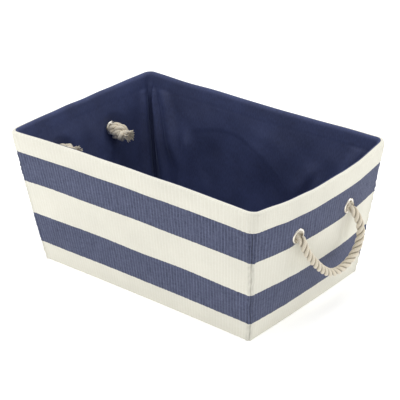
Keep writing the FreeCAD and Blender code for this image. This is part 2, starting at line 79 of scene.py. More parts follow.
def blended(sizes, rise):
    base, middle, rim = sizes
    return (base * (1 - rise) * (1 - 2 * rise) + middle * 4 * rise * (1 - rise)
            + rim * rise * (2 * rise - 1))


def smooth(low, high, value):
    share = np.clip((value - low) / (high - low), 0, 1)
    return share * share * (3 - 2 * share)


def hump(value, centre, width, power=2):
    return np.exp(-np.abs((value - centre) / width) ** power)


def ripples(a, b, c, seed, waveLength, count=8):
    # soft random waves through space, about -1 to 1
    draw = random.Random(seed)
    total = 0 * a
    for _ in range(count):
        way = Vector((draw.gauss(0, 1), draw.gauss(0, 1), draw.gauss(0, 1))).normalized()
        wave = 2 * math.pi / (waveLength * draw.uniform(0.6, 1.3))
        phase = draw.uniform(0, 2 * math.pi)
        total = total + np.sin(wave * (a * way.x + b * way.y + c * way.z) + phase)
    return total / math.sqrt(count) / 1.4


def outlineArcs(rise, ease=0.0):
    # the two wall arcs and the corner arc of the quarter towards +X and +Y
    halfLength = binShape["rimLength"] / 2 - binShape["endTaper"] * (1 - rise)
    halfWidth = binShape["rimWidth"] / 2 - binShape["sideTaper"] * (1 - rise)
    bow = blended(binShape["endBow"], rise)
    pull = blended(binShape["sidePull"], rise)
    corner = np.maximum(blended(binShape["cornerRadius"], rise), 3 * mm) + ease
    endRadius = (halfWidth ** 2 + bow ** 2) / (2 * bow)
    sideRadius = (halfLength ** 2 + pull ** 2) / (2 * pull)
    endX = halfLength + bow - endRadius
    sideY = halfWidth - pull + sideRadius
    toEnd, toSide = endRadius - corner, sideRadius + corner
    apart = np.hypot(endX, sideY)
    along = (toEnd ** 2 - toSide ** 2 + apart ** 2) / (2 * apart)
    across = np.sqrt(toEnd ** 2 - along ** 2)
    cornerX = endX - endX / apart * along + sideY / apart * across
    cornerY = sideY / apart * along + endX / apart * across
    endTurn = np.arctan2(cornerY, cornerX - endX)
    sideTurn = np.arctan2(cornerX, sideY - cornerY)
    return dict(endX=endX, endRadius=endRadius, sideY=sideY, sideRadius=sideRadius,
                cornerX=cornerX, cornerY=cornerY, corner=corner, endTurn=endTurn,
                sideTurn=sideTurn, mitre=(endTurn + math.pi / 2 - sideTurn) / 2)


def wallPlace(wall, share, rise, ease=0.0):
    # a point of the outer cloth face: share runs from -1 to 1 between a wall's two mitres.
    # Gives the place, its outward direction, its distance from the wall's middle and the
    # mitre's distance from there.
    arcs = outlineArcs(rise, ease)
    side = np.sign(share) + (share == 0)
    if wall in ("left", "right"):
        straight = arcs["endRadius"] * arcs["endTurn"]
        length = straight + arcs["corner"] * (arcs["mitre"] - arcs["endTurn"])
        distance = np.abs(share) * length
        turn = distance / arcs["endRadius"]
        cornerTurn = arcs["endTurn"] + (distance - straight) / arcs["corner"]
        onWall = distance < straight
        x = np.where(onWall, arcs["endX"] + arcs["endRadius"] * np.cos(turn),
                     arcs["cornerX"] + arcs["corner"] * np.cos(cornerTurn))
        y = np.where(onWall, arcs["endRadius"] * np.sin(turn),
                     arcs["cornerY"] + arcs["corner"] * np.sin(cornerTurn))
        nx = np.where(onWall, np.cos(turn), np.cos(cornerTurn))
        ny = np.where(onWall, np.sin(turn), np.sin(cornerTurn))
        y, ny = y * side, ny * side
        if wall == "left":
            x, y, nx, ny = -x, -y, -nx, -ny
    else:
        straight = arcs["sideRadius"] * arcs["sideTurn"]
        restTurn = math.pi / 2 - arcs["sideTurn"] - arcs["mitre"]
        length = straight + arcs["corner"] * restTurn
        distance = np.abs(share) * length
        turn = distance / arcs["sideRadius"]
        cornerTurn = math.pi / 2 - arcs["sideTurn"] - (distance - straight) / arcs["corner"]
        onWall = distance < straight
        x = np.where(onWall, arcs["sideRadius"] * np.sin(turn),
                     arcs["cornerX"] + arcs["corner"] * np.cos(cornerTurn))
        y = np.where(onWall, arcs["sideY"] - arcs["sideRadius"] * np.cos(turn),
                     arcs["cornerY"] + arcs["corner"] * np.sin(cornerTurn))
        nx = np.where(onWall, -np.sin(turn), np.cos(cornerTurn))
        ny = np.where(onWall, np.cos(turn), np.sin(cornerTurn))
        x, nx = -x * side, -nx * side
        if wall == "front":
            x, y, nx, ny = -x, -y, -nx, -ny
    return x, y, nx, ny, distance * side, length


def droopAt(x, y, rise):
    # how far the middle of each end hangs below its corners
    halfWidth = binShape["rimWidth"] / 2 - binShape["sideTaper"] * (1 - rise)
    nearEnd = smooth(0.80, 0.97, np.abs(x) / (binShape["rimLength"] / 2))
    dip = np.clip(1 - (y / halfWidth) ** 2, 0, 1)
    return binShape["endDroop"] * rise ** 2 * dip * nearEnd


def loopPlace(share, rise, ease=0.0):
    # once round the bin, anticlockwise from the middle of the back wall: the place and its
    # outward direction
    starts = (("back", 0.0), ("left", 1.0), ("front", 2.0), ("right", 3.0), ("back", 4.0))
    along = (share % 1.0) * 4 + 0.5
    results = [np.zeros_like(share * rise) for _ in range(4)]
    for wall, start in starts:
        local = (along - start) * 2 - 1
        inside = (local >= -1) & (local < 1)
        if wall == "back":
            inside = (along < 1.0) if start == 0.0 else (along >= 4.0)
        values = wallPlace(wall, np.clip(local, -1, 1), rise, ease)[:4]
        results = [np.where(inside, value, result) for value, result in zip(values, results)]
    return results


def activate(piece):
    bpy.ops.object.select_all(action="DESELECT")
    piece.select_set(True)
    bpy.context.view_layer.objects.active = piece


def editAll(piece, operator, **settings):
    # runs one edit-mode operator on the whole mesh
    activate(piece)
    bpy.ops.object.mode_set(mode="EDIT")
    bpy.ops.mesh.select_all(action="SELECT")
    operator(**settings)
    bpy.ops.object.mode_set(mode="OBJECT")


def faceOutwards(piece):
    editAll(piece, bpy.ops.mesh.normals_make_consistent, inside=False)


def pointsOf(piece):
    flat = np.empty(len(piece.data.vertices) * 3)
    piece.data.vertices.foreach_get("co", flat)
    return flat.reshape(-1, 3)


def markPoints(piece, name, values):
    # a number for each point, which a material reads
    mark = piece.data.attributes.new(name, "FLOAT", "POINT")
    mark.data.foreach_set("value", values)


def applyModifier(piece, kind, **settings):
    activate(piece)
    modifier = piece.modifiers.new(kind, kind)
    for name, value in settings.items():
        setattr(modifier, name, value)
    bpy.ops.object.modifier_apply(modifier=modifier.name)


def clothGrid(name, columns, rows, place, closed=False):
    # a grid primitive whose points are moved to where the cloth hangs. place takes the two
    # shares across and up, 0 to 1, and gives x, y, z and the cloth's own two lengths. closed
    # merges the edges that meet
    bpy.ops.mesh.primitive_grid_add(x_subdivisions=columns, y_subdivisions=rows, size=2)
    piece = bpy.context.object
    piece.name = piece.data.name = name
    mesh = piece.data
    flat = pointsOf(piece)
    across, up = (flat[:, 0] + 1) / 2, (flat[:, 1] + 1) / 2
    x, y, z, clothAcross, clothUp = [value + 0 * across for value in place(across, up)]
    corners = np.empty(len(mesh.loops), dtype=np.int32)
    mesh.loops.foreach_get("vertex_index", corners)
    while mesh.uv_layers:
        mesh.uv_layers.remove(mesh.uv_layers[0])
    cloth = mesh.uv_layers.new(name="cloth")
    cloth.uv.foreach_set("vector", np.stack([clothAcross, clothUp], 1)[corners].ravel())
    mesh.vertices.foreach_set("co", np.stack([x, y, z], 1).ravel())
    mesh.update()
    if closed:
        editAll(piece, bpy.ops.mesh.remove_doubles, threshold=mergeDistance)
    return piece


def smoothShaded(piece, sharpAngle=None):
    activate(piece)
    if sharpAngle:
        bpy.ops.object.shade_smooth_by_angle(angle=sharpAngle)
    else:
        bpy.ops.object.shade_smooth()


def finishCloth(piece, thickness, side, material):
    # gives the sheet its thickness: side is -1 behind its faces and 0 about their middle
    faceOutwards(piece)
    applyModifier(piece, "SOLIDIFY", thickness=thickness, offset=side, use_rim=True)
    smoothShaded(piece)
    setMaterial(piece, material)


def joined(name, pieces):
    activate(pieces[0])
    for piece in pieces:
        piece.select_set(True)
    bpy.ops.object.join()
    pieces[0].name = pieces[0].data.name = name
    return pieces[0]


def placed(piece, matrix):
    piece.data.transform(matrix)
    piece.data.update()
    return piece


def carriedFrames(line):
    # two directions across the line, carried along it without twisting
    heading = np.gradient(line, axis=0)
    heading /= np.linalg.norm(heading, axis=1)[:, None]
    side = np.cross(heading[0], (0.2, 0.9, 0.3))
    side /= np.linalg.norm(side)
    sides = []
    for direction in heading:
        side = side - direction * side.dot(direction)
        side = side / np.linalg.norm(side)
        sides.append(side)
    sides = np.array(sides)
    return sides, np.cross(heading, sides)


def lengthsAlong(line):
    return np.concatenate([[0], np.cumsum(np.linalg.norm(np.diff(line, axis=0), axis=1))])


def tubeAlong(name, line, radius, sides, startAt=0.0):
    # a round tube along a line, closed at its ends; radius is a number or one for each point
    first, second = carriedFrames(line)
    steps = lengthsAlong(line)
    radii = np.zeros(len(line)) + radius
    count = len(line) - 1

    def place(across, up):
        spot = np.rint(up * count).astype(int)
        turn = across * 2 * math.pi
        out = first[spot] * np.cos(turn)[:, None] + second[spot] * np.sin(turn)[:, None]
        where = line[spot] + out * radii[spot][:, None]
        return where[:, 0], where[:, 1], where[:, 2], across, steps[spot] + startAt

    piece = clothGrid(name, sides, count, place, closed=True)
    activate(piece)
    bpy.ops.object.mode_set(mode="EDIT")
    bpy.ops.mesh.select_all(action="DESELECT")
    bpy.ops.mesh.select_mode(type="EDGE")
    bpy.ops.mesh.select_non_manifold(extend=False)
    bpy.ops.mesh.edge_face_add()
    bpy.ops.object.mode_set(mode="OBJECT")
    faceOutwards(piece)
    return piece


def strandLines(line, lay, radius, phase):
    # the three strands' own lines, winding round the rope's line
    first, second = carriedFrames(line)
    steps = lengthsAlong(line)
    lines = []
    for strand in range(3):
        turn = (steps / lay + strand / 3) * 2 * math.pi + phase
        offset = first * np.cos(turn)[:, None] + second * np.sin(turn)[:, None]
        lines.append(line + offset * radius)
    return lines


def srgb(code):
    # a hex colour as the linear numbers that shaders take
    parts = [int(code[i:i + 2], 16) / 255 for i in (1, 3, 5)]
    return [p / 12.92 if p <= 0.04045 else ((p + 0.055) / 1.055) ** 2.4 for p in parts] + [1]


def newMaterial(name):
    material = bpy.data.materials.new(name)
    material.use_nodes = True
    tree = material.node_tree
    tree.nodes.clear()
    return material, tree


def add(tree, kind, links=(), **settings):
    # adds a node; settings named after an input set that input, and links are (input, socket)
    node = tree.nodes.new("ShaderNode" + kind)
    for name, value in settings.items():
        if hasattr(node, name):
            setattr(node, name, value)
        else:
            node.inputs[name.replace("_", " ")].default_value = value
    for name, socket in links:
        tree.links.new(socket, node.inputs[name])
    return node


def maths(tree, operation, first, second=None, third=None, clamp=False):
    node = tree.nodes.new("ShaderNodeMath")
    node.operation = operation
    node.use_clamp = clamp
    for index, value in enumerate((first, second, third)):
        if value is None:
            continue
        if isinstance(value, (int, float)):
            node.inputs[index].default_value = value
        else:
            tree.links.new(value, node.inputs[index])
    return node.outputs[0]


def mixed(tree, share, first, second):
    node = tree.nodes.new("ShaderNodeMix")
    node.data_type = "RGBA"
    for index, value in ((0, share), (6, first), (7, second)):
        if isinstance(value, (int, float, list)):
            node.inputs[index].default_value = value
        else:
            tree.links.new(value, node.inputs[index])
    return node.outputs[2]


def weighted(tree, *pairs):
    # the sum of sockets times their weights
    total = None
    for socket, weight in pairs:
        part = maths(tree, "MULTIPLY", socket, weight)
        total = part if total is None else maths(tree, "ADD", total, part)
    return total


def dimmed(tree, colour, share):
    # the colour times a socket's value
    return add(tree, "VectorMath", [(0, colour), (1, share)], operation="MULTIPLY").outputs[0]


def finishMaterial(tree, colour, bump=None, links=(), **settings):
    # the shader that every material ends in; bump is a height, its strength and its depth
    links = [("Base Color", colour), *links]
    if bump:
        height, strength, depth = bump
        relief = add(tree, "Bump", [("Height", height)], Strength=strength, Distance=depth)
        links.append(("Normal", relief.outputs[0]))
    shader = add(tree, "BsdfPrincipled", links, **settings)
    add(tree, "OutputMaterial", [("Surface", shader.outputs[0])])


def setMaterial(piece, material):
    piece.data.materials.clear()
    piece.data.materials.append(material)


# A ribbed cotton weave: cords run up the wall, every second one heavier, over finer
# threads, and uneven yarn gives short light and dark streaks.
weave = {
    "ribSpacing": 2.25 * mm, "threadSpacing": 0.75 * mm, "weftSpacing": 1.3 * mm,
    "navyDark": "#20263d", "navyLight": "#676d88",
    "creamDark": "#d9d6c8", "creamLight": "#e5e3d8",
    "stripeEdges": (25.2 * mm, 66.3 * mm, 110.7 * mm, 151.8 * mm),   # up the cloth
    "edgeWander": 0.55 * mm,
    "bumpHeight": 0.24 * mm,
}


def threads(tree, coordinate, spacing):
    # a rounded thread profile across the given direction, 0 in the grooves and 1 on top
    phase = maths(tree, "MULTIPLY", coordinate, math.pi / spacing)
    return maths(tree, "ABSOLUTE", maths(tree, "SINE", phase))


def stretchedNoise(tree, vector, across, up, detail=2.0, seed=0.0):
    # noise whose grain is the given size, in metres, across and up the cloth
    mapping = add(tree, "Mapping", [("Vector", vector)], Scale=(1 / across, 1 / up, 1),
                  Location=(seed, seed * 0.7, seed * 1.3))
    noise = add(tree, "TexNoise", [("Vector", mapping.outputs[0])], Scale=1.0, Detail=detail,
                Roughness=0.55)
    return noise.outputs[0]


def wovenCloth(name, striped):
    material, tree = newMaterial(name)
    cloth = add(tree, "UVMap", uv_map="cloth").outputs[0]
    split = add(tree, "SeparateXYZ", [("Vector", cloth)])
    across, up = split.outputs[0], split.outputs[1]
    wander = stretchedNoise(tree, cloth, 6 * mm, 60 * mm, seed=3.1)
    spot = maths(tree, "MULTIPLY_ADD", wander, 1.3 * mm, across)
    rib = maths(tree, "POWER", threads(tree, spot, weave["ribSpacing"]), 0.6)
    heavy = maths(tree, "SINE", maths(tree, "MULTIPLY", spot, math.pi / weave["ribSpacing"]))
    fine = threads(tree, across, weave["threadSpacing"])
    weft = threads(tree, up, weave["weftSpacing"])
    streaks = stretchedNoise(tree, cloth, 1.8 * mm, 20 * mm, detail=3.0)
    cross = stretchedNoise(tree, cloth, 13 * mm, 1.6 * mm, detail=2.0, seed=7.0)
    fleck = stretchedNoise(tree, cloth, 1.5 * mm, 2.2 * mm, detail=2.0, seed=5.0)
    broad = stretchedNoise(tree, cloth, 60 * mm, 45 * mm, detail=1.0, seed=2.0)
    yarn = weighted(tree, (streaks, 0.38), (cross, 0.24), (fleck, 0.38))
    yarn = maths(tree, "SUBTRACT", yarn, 0.5)
    shade = weighted(tree, (rib, 0.45), (heavy, 0.15), (fine, 0.08), (weft, 0.06), (yarn, 1.7))
    shade = maths(tree, "ADD", shade, 0.10, clamp=True)
    cream = mixed(tree, shade, srgb(weave["creamDark"]), srgb(weave["creamLight"]))
    colour = cream
    if striped:
        navy = mixed(tree, shade, srgb(weave["navyDark"]), srgb(weave["navyLight"]))
        edge = stretchedNoise(tree, cloth, 1.7 * mm, 60 * mm, seed=9.0)
        height = maths(tree, "MULTIPLY_ADD", maths(tree, "SUBTRACT", edge, 0.5),
                       weave["edgeWander"] * 3, up)
        low, lowTop, high, highTop = weave["stripeEdges"]
        inLow = maths(tree, "MULTIPLY", maths(tree, "GREATER_THAN", height, low),
                      maths(tree, "LESS_THAN", height, lowTop))
        inHigh = maths(tree, "MULTIPLY", maths(tree, "GREATER_THAN", height, high),
                       maths(tree, "LESS_THAN", height, highTop))
        colour = mixed(tree, maths(tree, "ADD", inLow, inHigh), cream, navy)
    tone = maths(tree, "MULTIPLY_ADD", broad, 0.16, 0.92)
    # the cloth is painted darker beside the corner seams: partly soil, partly painted shade of the
    # puckered seam
    soilAndShade = add(tree, "Attribute", attribute_name="seamSoilAndShade").outputs["Fac"]
    tone = maths(tree, "MULTIPLY_ADD", soilAndShade, -0.2, tone)
    relief = weighted(tree, (rib, 0.9), (fine, 0.15), (weft, 0.2), (yarn, 0.7))
    finishMaterial(tree, dimmed(tree, colour, tone), (relief, 0.8, weave["bumpHeight"]),
                   Roughness=0.88, Sheen_Weight=0.08, Sheen_Roughness=0.5, Specular_IOR_Level=0.2)
    return material


# The lining is a plain, tightly woven navy polycotton with a soft sheen on its folds.
liningLook = {
    "threadSpacing": 1.0 * mm, "dark": "#252b46", "light": "#3f4972", "sheen": "#8f9ccb",
    "bumpHeight": 0.12 * mm,
    "facingFrom": 159 * mm, "facing": 1.06,      # the facing strip catches more light
}


def liningCloth(name):
    material, tree = newMaterial(name)
    cloth = add(tree, "UVMap", uv_map="cloth").outputs[0]
    split = add(tree, "SeparateXYZ", [("Vector", cloth)])
    warp = threads(tree, split.outputs[0], liningLook["threadSpacing"])
    weft = threads(tree, split.outputs[1], liningLook["threadSpacing"])
    grain = stretchedNoise(tree, cloth, 1.2 * mm, 5 * mm, detail=2.0)
    broad = stretchedNoise(tree, cloth, 45 * mm, 60 * mm, detail=2.0, seed=4.0)
    tone = weighted(tree, (grain, 0.5), (broad, 0.5))
    tone = maths(tree, "MULTIPLY_ADD", maths(tree, "SUBTRACT", tone, 0.5), 2.0, 0.5, clamp=True)
    colour = mixed(tree, tone, srgb(liningLook["dark"]), srgb(liningLook["light"]))
    # above facingFrom the lining is painted lighter by the facing factor: a painted highlight where
    # the strip catches more light
    facing = maths(tree, "GREATER_THAN", split.outputs[1], liningLook["facingFrom"])
    lift = maths(tree, "MULTIPLY_ADD", facing, liningLook["facing"] - 1, 1.0)
    relief = weighted(tree, (warp, 0.5), (weft, 0.5))
    finishMaterial(tree, dimmed(tree, colour, lift), (relief, 0.4, liningLook["bumpHeight"]),
                   Roughness=0.62, Sheen_Weight=0.35, Sheen_Roughness=0.4,
                   Sheen_Tint=srgb(liningLook["sheen"]), Specular_IOR_Level=0.35)
    return material


# Undyed cotton rope: each strand is a bundle of yarns that twist the other way.
ropeLook = {
    "light": "#e9e1d0", "dark": "#bbac90", "grooveShade": "#77694f",
    "grooveEnd": 0.56, "grooveFade": 0.34,   # as shares of the rope's radius
    "bumpHeight": 0.35 * mm,
}


def cottonRope(name, yarnPitch, yarnCount):
    material, tree = newMaterial(name)
    cloth = add(tree, "UVMap", uv_map="cloth").outputs[0]
    split = add(tree, "SeparateXYZ", [("Vector", cloth)])
    along, around = split.outputs[1], split.outputs[0]   # metres along, turns around
    spiral = maths(tree, "ADD", maths(tree, "MULTIPLY", around, yarnCount),
                   maths(tree, "MULTIPLY", along, yarnCount / yarnPitch))
    yarns = threads(tree, spiral, 1.0)
    fibre = stretchedNoise(tree, cloth, 0.06, 5 * mm, detail=4.0)
    patch = stretchedNoise(tree, cloth, 0.5, 12 * mm, detail=2.0, seed=3.0)
    tone = weighted(tree, (yarns, 0.4), (fibre, 0.5))
    tone = maths(tree, "ADD", tone, maths(tree, "MULTIPLY", patch, 0.25), clamp=True)
    colour = mixed(tree, tone, srgb(ropeLook["dark"]), srgb(ropeLook["light"]))
    # the grooves between the strands are painted darker: painted shade in the recesses
    outward = add(tree, "Attribute", attribute_name="outward").outputs["Fac"]
    raised = maths(tree, "SUBTRACT", outward, ropeLook["grooveEnd"])
    raised = maths(tree, "DIVIDE", raised, ropeLook["grooveFade"], clamp=True)
    grooveShade = maths(tree, "SUBTRACT", 1.0, raised, clamp=True)
    colour = mixed(tree, grooveShade, colour, srgb(ropeLook["grooveShade"]))
    relief = weighted(tree, (yarns, 0.7), (fibre, 0.4))
    finishMaterial(tree, colour, (relief, 0.8, ropeLook["bumpHeight"]),
                   Roughness=0.9, Sheen_Weight=0.3, Sheen_Roughness=0.6, Specular_IOR_Level=0.2,
                   Subsurface_Weight=0.08, Subsurface_Radius=(0.004, 0.003, 0.002))
    return material


def platedMetal(name, colour, roughness):
    # polished nickel or drawn steel: bright, with faint handling marks
    material, tree = newMaterial(name)
    place = add(tree, "TexCoord").outputs["Object"]
    marks = add(tree, "TexNoise", [("Vector", place)], Scale=900.0, Detail=3.0).outputs[0]
    cloud = add(tree, "TexNoise", [("Vector", place)], Scale=120.0, Detail=2.0).outputs[0]
    rough = maths(tree, "MULTIPLY_ADD", marks, 0.14, roughness - 0.07)
    tint = mixed(tree, cloud, srgb(colour), srgb("#efeae0"))
    finishMaterial(tree, tint, (marks, 0.15, 0.05 * mm), [("Roughness", rough)], Metallic=1.0)
    return material


def pressedBoard(name):
    # grey-brown chipboard with pressed flakes
    material, tree = newMaterial(name)
    place = add(tree, "TexCoord").outputs["Object"]
    flakes = add(tree, "TexVoronoi", [("Vector", place)], Scale=350.0)
    fine = add(tree, "TexNoise", [("Vector", place)], Scale=700.0, Detail=4.0).outputs[0]
    tone = maths(tree, "ADD", maths(tree, "MULTIPLY", flakes.outputs[0], 0.6),
                 maths(tree, "MULTIPLY", fine, 0.5), clamp=True)
    colour = mixed(tree, tone, srgb("#8a7758"), srgb("#b7a684"))
    finishMaterial(tree, colour, (tone, 0.4, 0.2 * mm), Roughness=0.85)
    return material


stripedCotton = wovenCloth("striped cotton weave", True)
creamCotton = wovenCloth("cream cotton binding", False)
navyLining = liningCloth("navy polycotton lining")
nickelPlate = platedMetal("polished nickel plate", "#cfc8bb", 0.24)
drawnSteel = platedMetal("drawn steel wire", "#9a9a9c", 0.38)
chipboard = pressedBoard("pressed chipboard")
print("materials ready")


eyeletLook = {
    "halfSpacing": 49 * mm, "belowRim": 60 * mm,
    "boreRadius": 6.2 * mm, "outerRadius": 9.7 * mm, "dome": 1.5 * mm,
    "lift": 2.2 * mm,             # the ring sits higher, so that the rope rests low in it
    "pierced": 7.9 * mm, "reach": 25 * mm,   # the hole in the cloth, and how deep it goes
    "segments": 48,
}
eyeletRise = (totalHeight - eyeletLook["belowRim"]) / totalHeight


def endWallPoint(end, y, rise):
    # where an end wall's cloth face is, at a place across it
    low, high = 0.0, 1.0
    for _ in range(40):
        share = (low + high) / 2
        height = abs(float(wallPlace("right", np.array(share), np.array(rise))[1]))
        low, high = (share, high) if height < abs(y) else (low, share)
    x = float(wallPlace("right", np.array(share), np.array(rise))[0])
    return Vector((x if end == "right" else -x, y, rise * totalHeight))


def eyeletMatrix(end, y):
    # the eyelet's own axes: Z points out of the bin, Y up along the wall
    step = 0.01
    point = endWallPoint(end, y, eyeletRise)
    across = endWallPoint(end, y + mm, eyeletRise) - endWallPoint(end, y - mm, eyeletRise)
    upward = endWallPoint(end, y, eyeletRise + step) - endWallPoint(end, y, eyeletRise - step)
    out = across.cross(upward).normalized()
    if out.x * point.x < 0:
        out = -out
    side = upward.normalized().cross(out)
    axes = Matrix((side, upward.normalized(), out)).transposed().to_4x4()
    return Matrix.Translation(point) @ axes


ropeExits, eyelets = {}, {}
for end in ("left", "right"):
    for place, y in (("front", -eyeletLook["halfSpacing"]), ("back", eyeletLook["halfSpacing"])):
        ropeExits[end, place] = eyeletMatrix(end, y)
        lifted = Matrix.Translation((0, 0, eyeletLook["lift"]))
        eyelets[end, place] = lifted @ ropeExits[end, place]


cover = {
    "columns": {"front": 280, "back": 280, "left": 190, "right": 190}, "rows": 104,
    "crowding": 1.25,             # the columns crowd towards the seams
    "seamCurl": 0.5 * mm,         # the cloth turns in at each corner seam
    "seamWander": 0.6 * mm,
    "ridgeHeight": 0.9 * mm,      # the seam allowance lies behind the cloth
    "ridgeWidth": 4.2 * mm,
    "darkSeamWidth": 4.2 * mm,
    "hemRadius": 0.5 * mm,
    "waviness": 0.6 * mm, "fineWaviness": 0.14 * mm,
    "pinch": 0.5 * mm, "pinchReach": 13 * mm,          # the eyelets pull the cloth in
    "foldBelow": 1.9 * mm, "foldAbove": 0.7 * mm, "foldWidth": 5.5 * mm,
    "thickness": 1.3 * mm,
    "top": bindingBottom + 12 * mm,
    # each wall's cut: its widths at the rim and the base, long walls first, and its height
    "flatWidths": ((381 * mm, 332 * mm), (258 * mm, 214 * mm)), "flatHeight": 166 * mm,
}


def seamFade(gap, up, seed):
    # what a sewn corner does to the cloth, by the distance from the seam
    curl = cover["seamCurl"] * (1 + 0.45 * ripples(up, 0 * up, 0 * up, seed + 40, 12 * mm))
    turned = np.clip(1 - gap / curl, 0, 1)
    inward = curl * (1 - np.sqrt(np.clip(1 - turned ** 2, 0, 1)))
    # the stitches pull the ridge into small slanting puckers
    lumps = 0.5 + 1.0 * ripples(up + gap * 0.8, gap * 0.6, 0 * up, seed, 7.5 * mm)
    centre = (2.7 + 0.5 * ripples(up, 0 * up, 0 * up, seed + 9, 16 * mm)) * mm
    ridge = cover["ridgeHeight"] * lumps * hump(gap, centre, cover["ridgeWidth"] / 2)
    return ridge - inward


def seamWander(x, y, height):
    # the seam strays a little to either side of the corner
    return cover["seamWander"] * ripples(0.1 * np.sign(x), 0.1 * np.sign(y), height, 77, 28 * mm)


def pierce(piece, *ends):
    # opens the cloth behind the eyelets; their flanges and washers cover the edges
    axes = [matrix.inverted() for (end, side), matrix in eyelets.items() if end in ends]
    cloth = bmesh.new()
    cloth.from_mesh(piece.data)
    lost = []
    for face in cloth.faces:
        middle = face.calc_center_median()
        for axis in axes:
            local = axis @ middle
            beside = math.hypot(local.x, local.y)
            if beside < eyeletLook["pierced"] and abs(local.z) < eyeletLook["reach"]:
                lost.append(face)
                break
    bmesh.ops.delete(cloth, geom=lost, context="FACES")
    cloth.to_mesh(piece.data)
    cloth.free()


def markSeams(piece):
    # the cloth is painted darker beside the corner seams: partly soil from handling, partly painted
    # shade of the puckered seam
    x, y, z = pointsOf(piece).T
    rise = np.clip(z / totalHeight, 0, 1)
    corner = wallPlace("right", np.ones_like(z), rise)
    away = np.hypot(np.abs(x) - corner[0], np.abs(y) - np.abs(corner[1]))
    blotch = 0.75 + 0.5 * ripples(x * 3, y * 3, z, 61, 12 * mm)
    markPoints(piece, "seamSoilAndShade", np.clip(blotch, 0, 1.3) * hump(away, 0, cover["darkSeamWidth"]))


def eyeletPull(distance, height):
    # the cloth is drawn in round each eyelet, with a fold above and a longer one below
    centre = totalHeight - eyeletLook["belowRim"]
    raised = height - centre
    below = smooth(0, -10 * mm, raised) * (1 - smooth(-30 * mm, -62 * mm, raised))
    above = smooth(0, 8 * mm, raised) * (1 - smooth(10 * mm, 30 * mm, raised))
    total = 0 * distance
    for middle in (-eyeletLook["halfSpacing"], eyeletLook["halfSpacing"]):
        offSide = distance - middle
        pinch = np.exp(-(offSide ** 2 + raised ** 2) / cover["pinchReach"] ** 2)
        fold = hump(offSide + raised * 0.10 * np.sign(middle), 0, cover["foldWidth"])
        total = total + cover["pinch"] * pinch
        total = total + fold * (cover["foldBelow"] * below + cover["foldAbove"] * above)
    return total


def coverWall(wall, seed):
    isEnd = wall in ("left", "right")

    def place(across, up):
        share = across * 2 - 1
        share = np.sign(share) * (1 - (1 - np.abs(share)) ** cover["crowding"])
        height = up * cover["top"]
        rise = height / totalHeight
        x, y, nx, ny, distance, length = wallPlace(wall, share, rise)
        gap = length - np.abs(distance)
        push = seamFade(gap, height, seed) * (1 - 0.6 * smooth(0.8, 0.9, rise))
        calm = smooth(0, 12 * mm, gap) * smooth(0, 20 * mm, height)
        push = push + cover["waviness"] * ripples(x, y, height, seed + 1, 95 * mm) * calm
        push = push + cover["fineWaviness"] * ripples(x, y, height * 0.4, seed + 2, 15 * mm) * calm
        if isEnd:
            push = push - eyeletPull(distance, height)
        # the cloth turns under at the floor
        hem = np.clip(1 - height / cover["hemRadius"], 0, 1)
        push = push - cover["hemRadius"] * (1 - np.sqrt(np.clip(1 - hem ** 2, 0, 1)))
        z = height - droopAt(x, y, rise)
        stray = seamWander(x, y, height) * np.exp(-gap / (9 * mm))
        # the ribs run up beside the slanting seams
        lengthHalfwayUp = wallPlace(wall, 0 * share + 1, 0 * rise + 0.5)[5]
        ribs = distance / length * lengthHalfwayUp
        return x + nx * push - ny * stray, y + ny * push + nx * stray, z, ribs, height

    piece = clothGrid(f"cover_{wall}", cover["columns"][wall], cover["rows"], place)
    markSeams(piece)
    if isEnd:
        pierce(piece, wall)
    finishCloth(piece, cover["thickness"], -1, stripedCotton)
    return piece


coverNodes = {"front": "front_panel", "back": "back_panel",
              "left": "left_end_panel", "right": "right_end_panel"}
for index, (wall, node) in enumerate(coverNodes.items()):
    piece = coverWall(wall, 20 + index)
    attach(piece, "bin")
    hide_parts(node)
print("cover walls ready")


# a cream strip folded over the rim wire
binding = {
    "proud": 0.9 * mm,            # outside the cover
    "rollInset": 2.7 * mm,        # the roll's middle, in from the cover's face
    "rollRadius": 3.5 * mm,
    "overTop": 120 * deg,         # how far round the roll the strip reaches
    "thickness": 1.0 * mm,
    "puckerHeight": 0.45 * mm,
    "puckerCount": 238,
    "seamSink": 0.35 * mm, "seamUp": 3.0 * mm,         # drawn in by its seam, near its edge
    "wander": 0.55 * mm,
    "start": 0.88,                # where the strip's ends meet
    "length": 1240 * mm, "flat": (1240 * mm, 30 * mm),
}


def bindingProfile(share):
    # inset and height along the strip, from its lower edge outside to its edge on the roll
    rollTop = totalHeight - binding["rollRadius"]
    legLength = rollTop - bindingBottom
    arcLength = binding["rollRadius"] * binding["overTop"]
    along = share * (legLength + arcLength)
    turn = np.clip((along - legLength) / binding["rollRadius"], 0, None)
    outside = binding["rollInset"] - binding["rollRadius"]
    inset = np.where(along < legLength,
                     -binding["proud"] + (outside + binding["proud"])
                     * smooth(0.55, 1.0, along / legLength),
                     binding["rollInset"] - binding["rollRadius"] * np.cos(turn))
    height = np.where(along < legLength, bindingBottom + along,
                      rollTop + binding["rollRadius"] * np.sin(turn))
    return inset, height, along


def cornerNearness(x, y, reach):
    # 1 on the rounded corners, fading along the walls
    cornerX = binShape["rimLength"] / 2 - binShape["cornerRadius"][2]
    cornerY = binShape["rimWidth"] / 2 - binShape["cornerRadius"][2]
    away = np.hypot(np.clip(cornerX - np.abs(x), 0, None), np.clip(cornerY - np.abs(y), 0, None))
    return 1 - smooth(0, reach, away)


def rimWander(x, y):
    # a wire rim wrapped in cloth is never quite level
    return binding["wander"] * ripples(x, y, 0 * x, 7, 70 * mm)


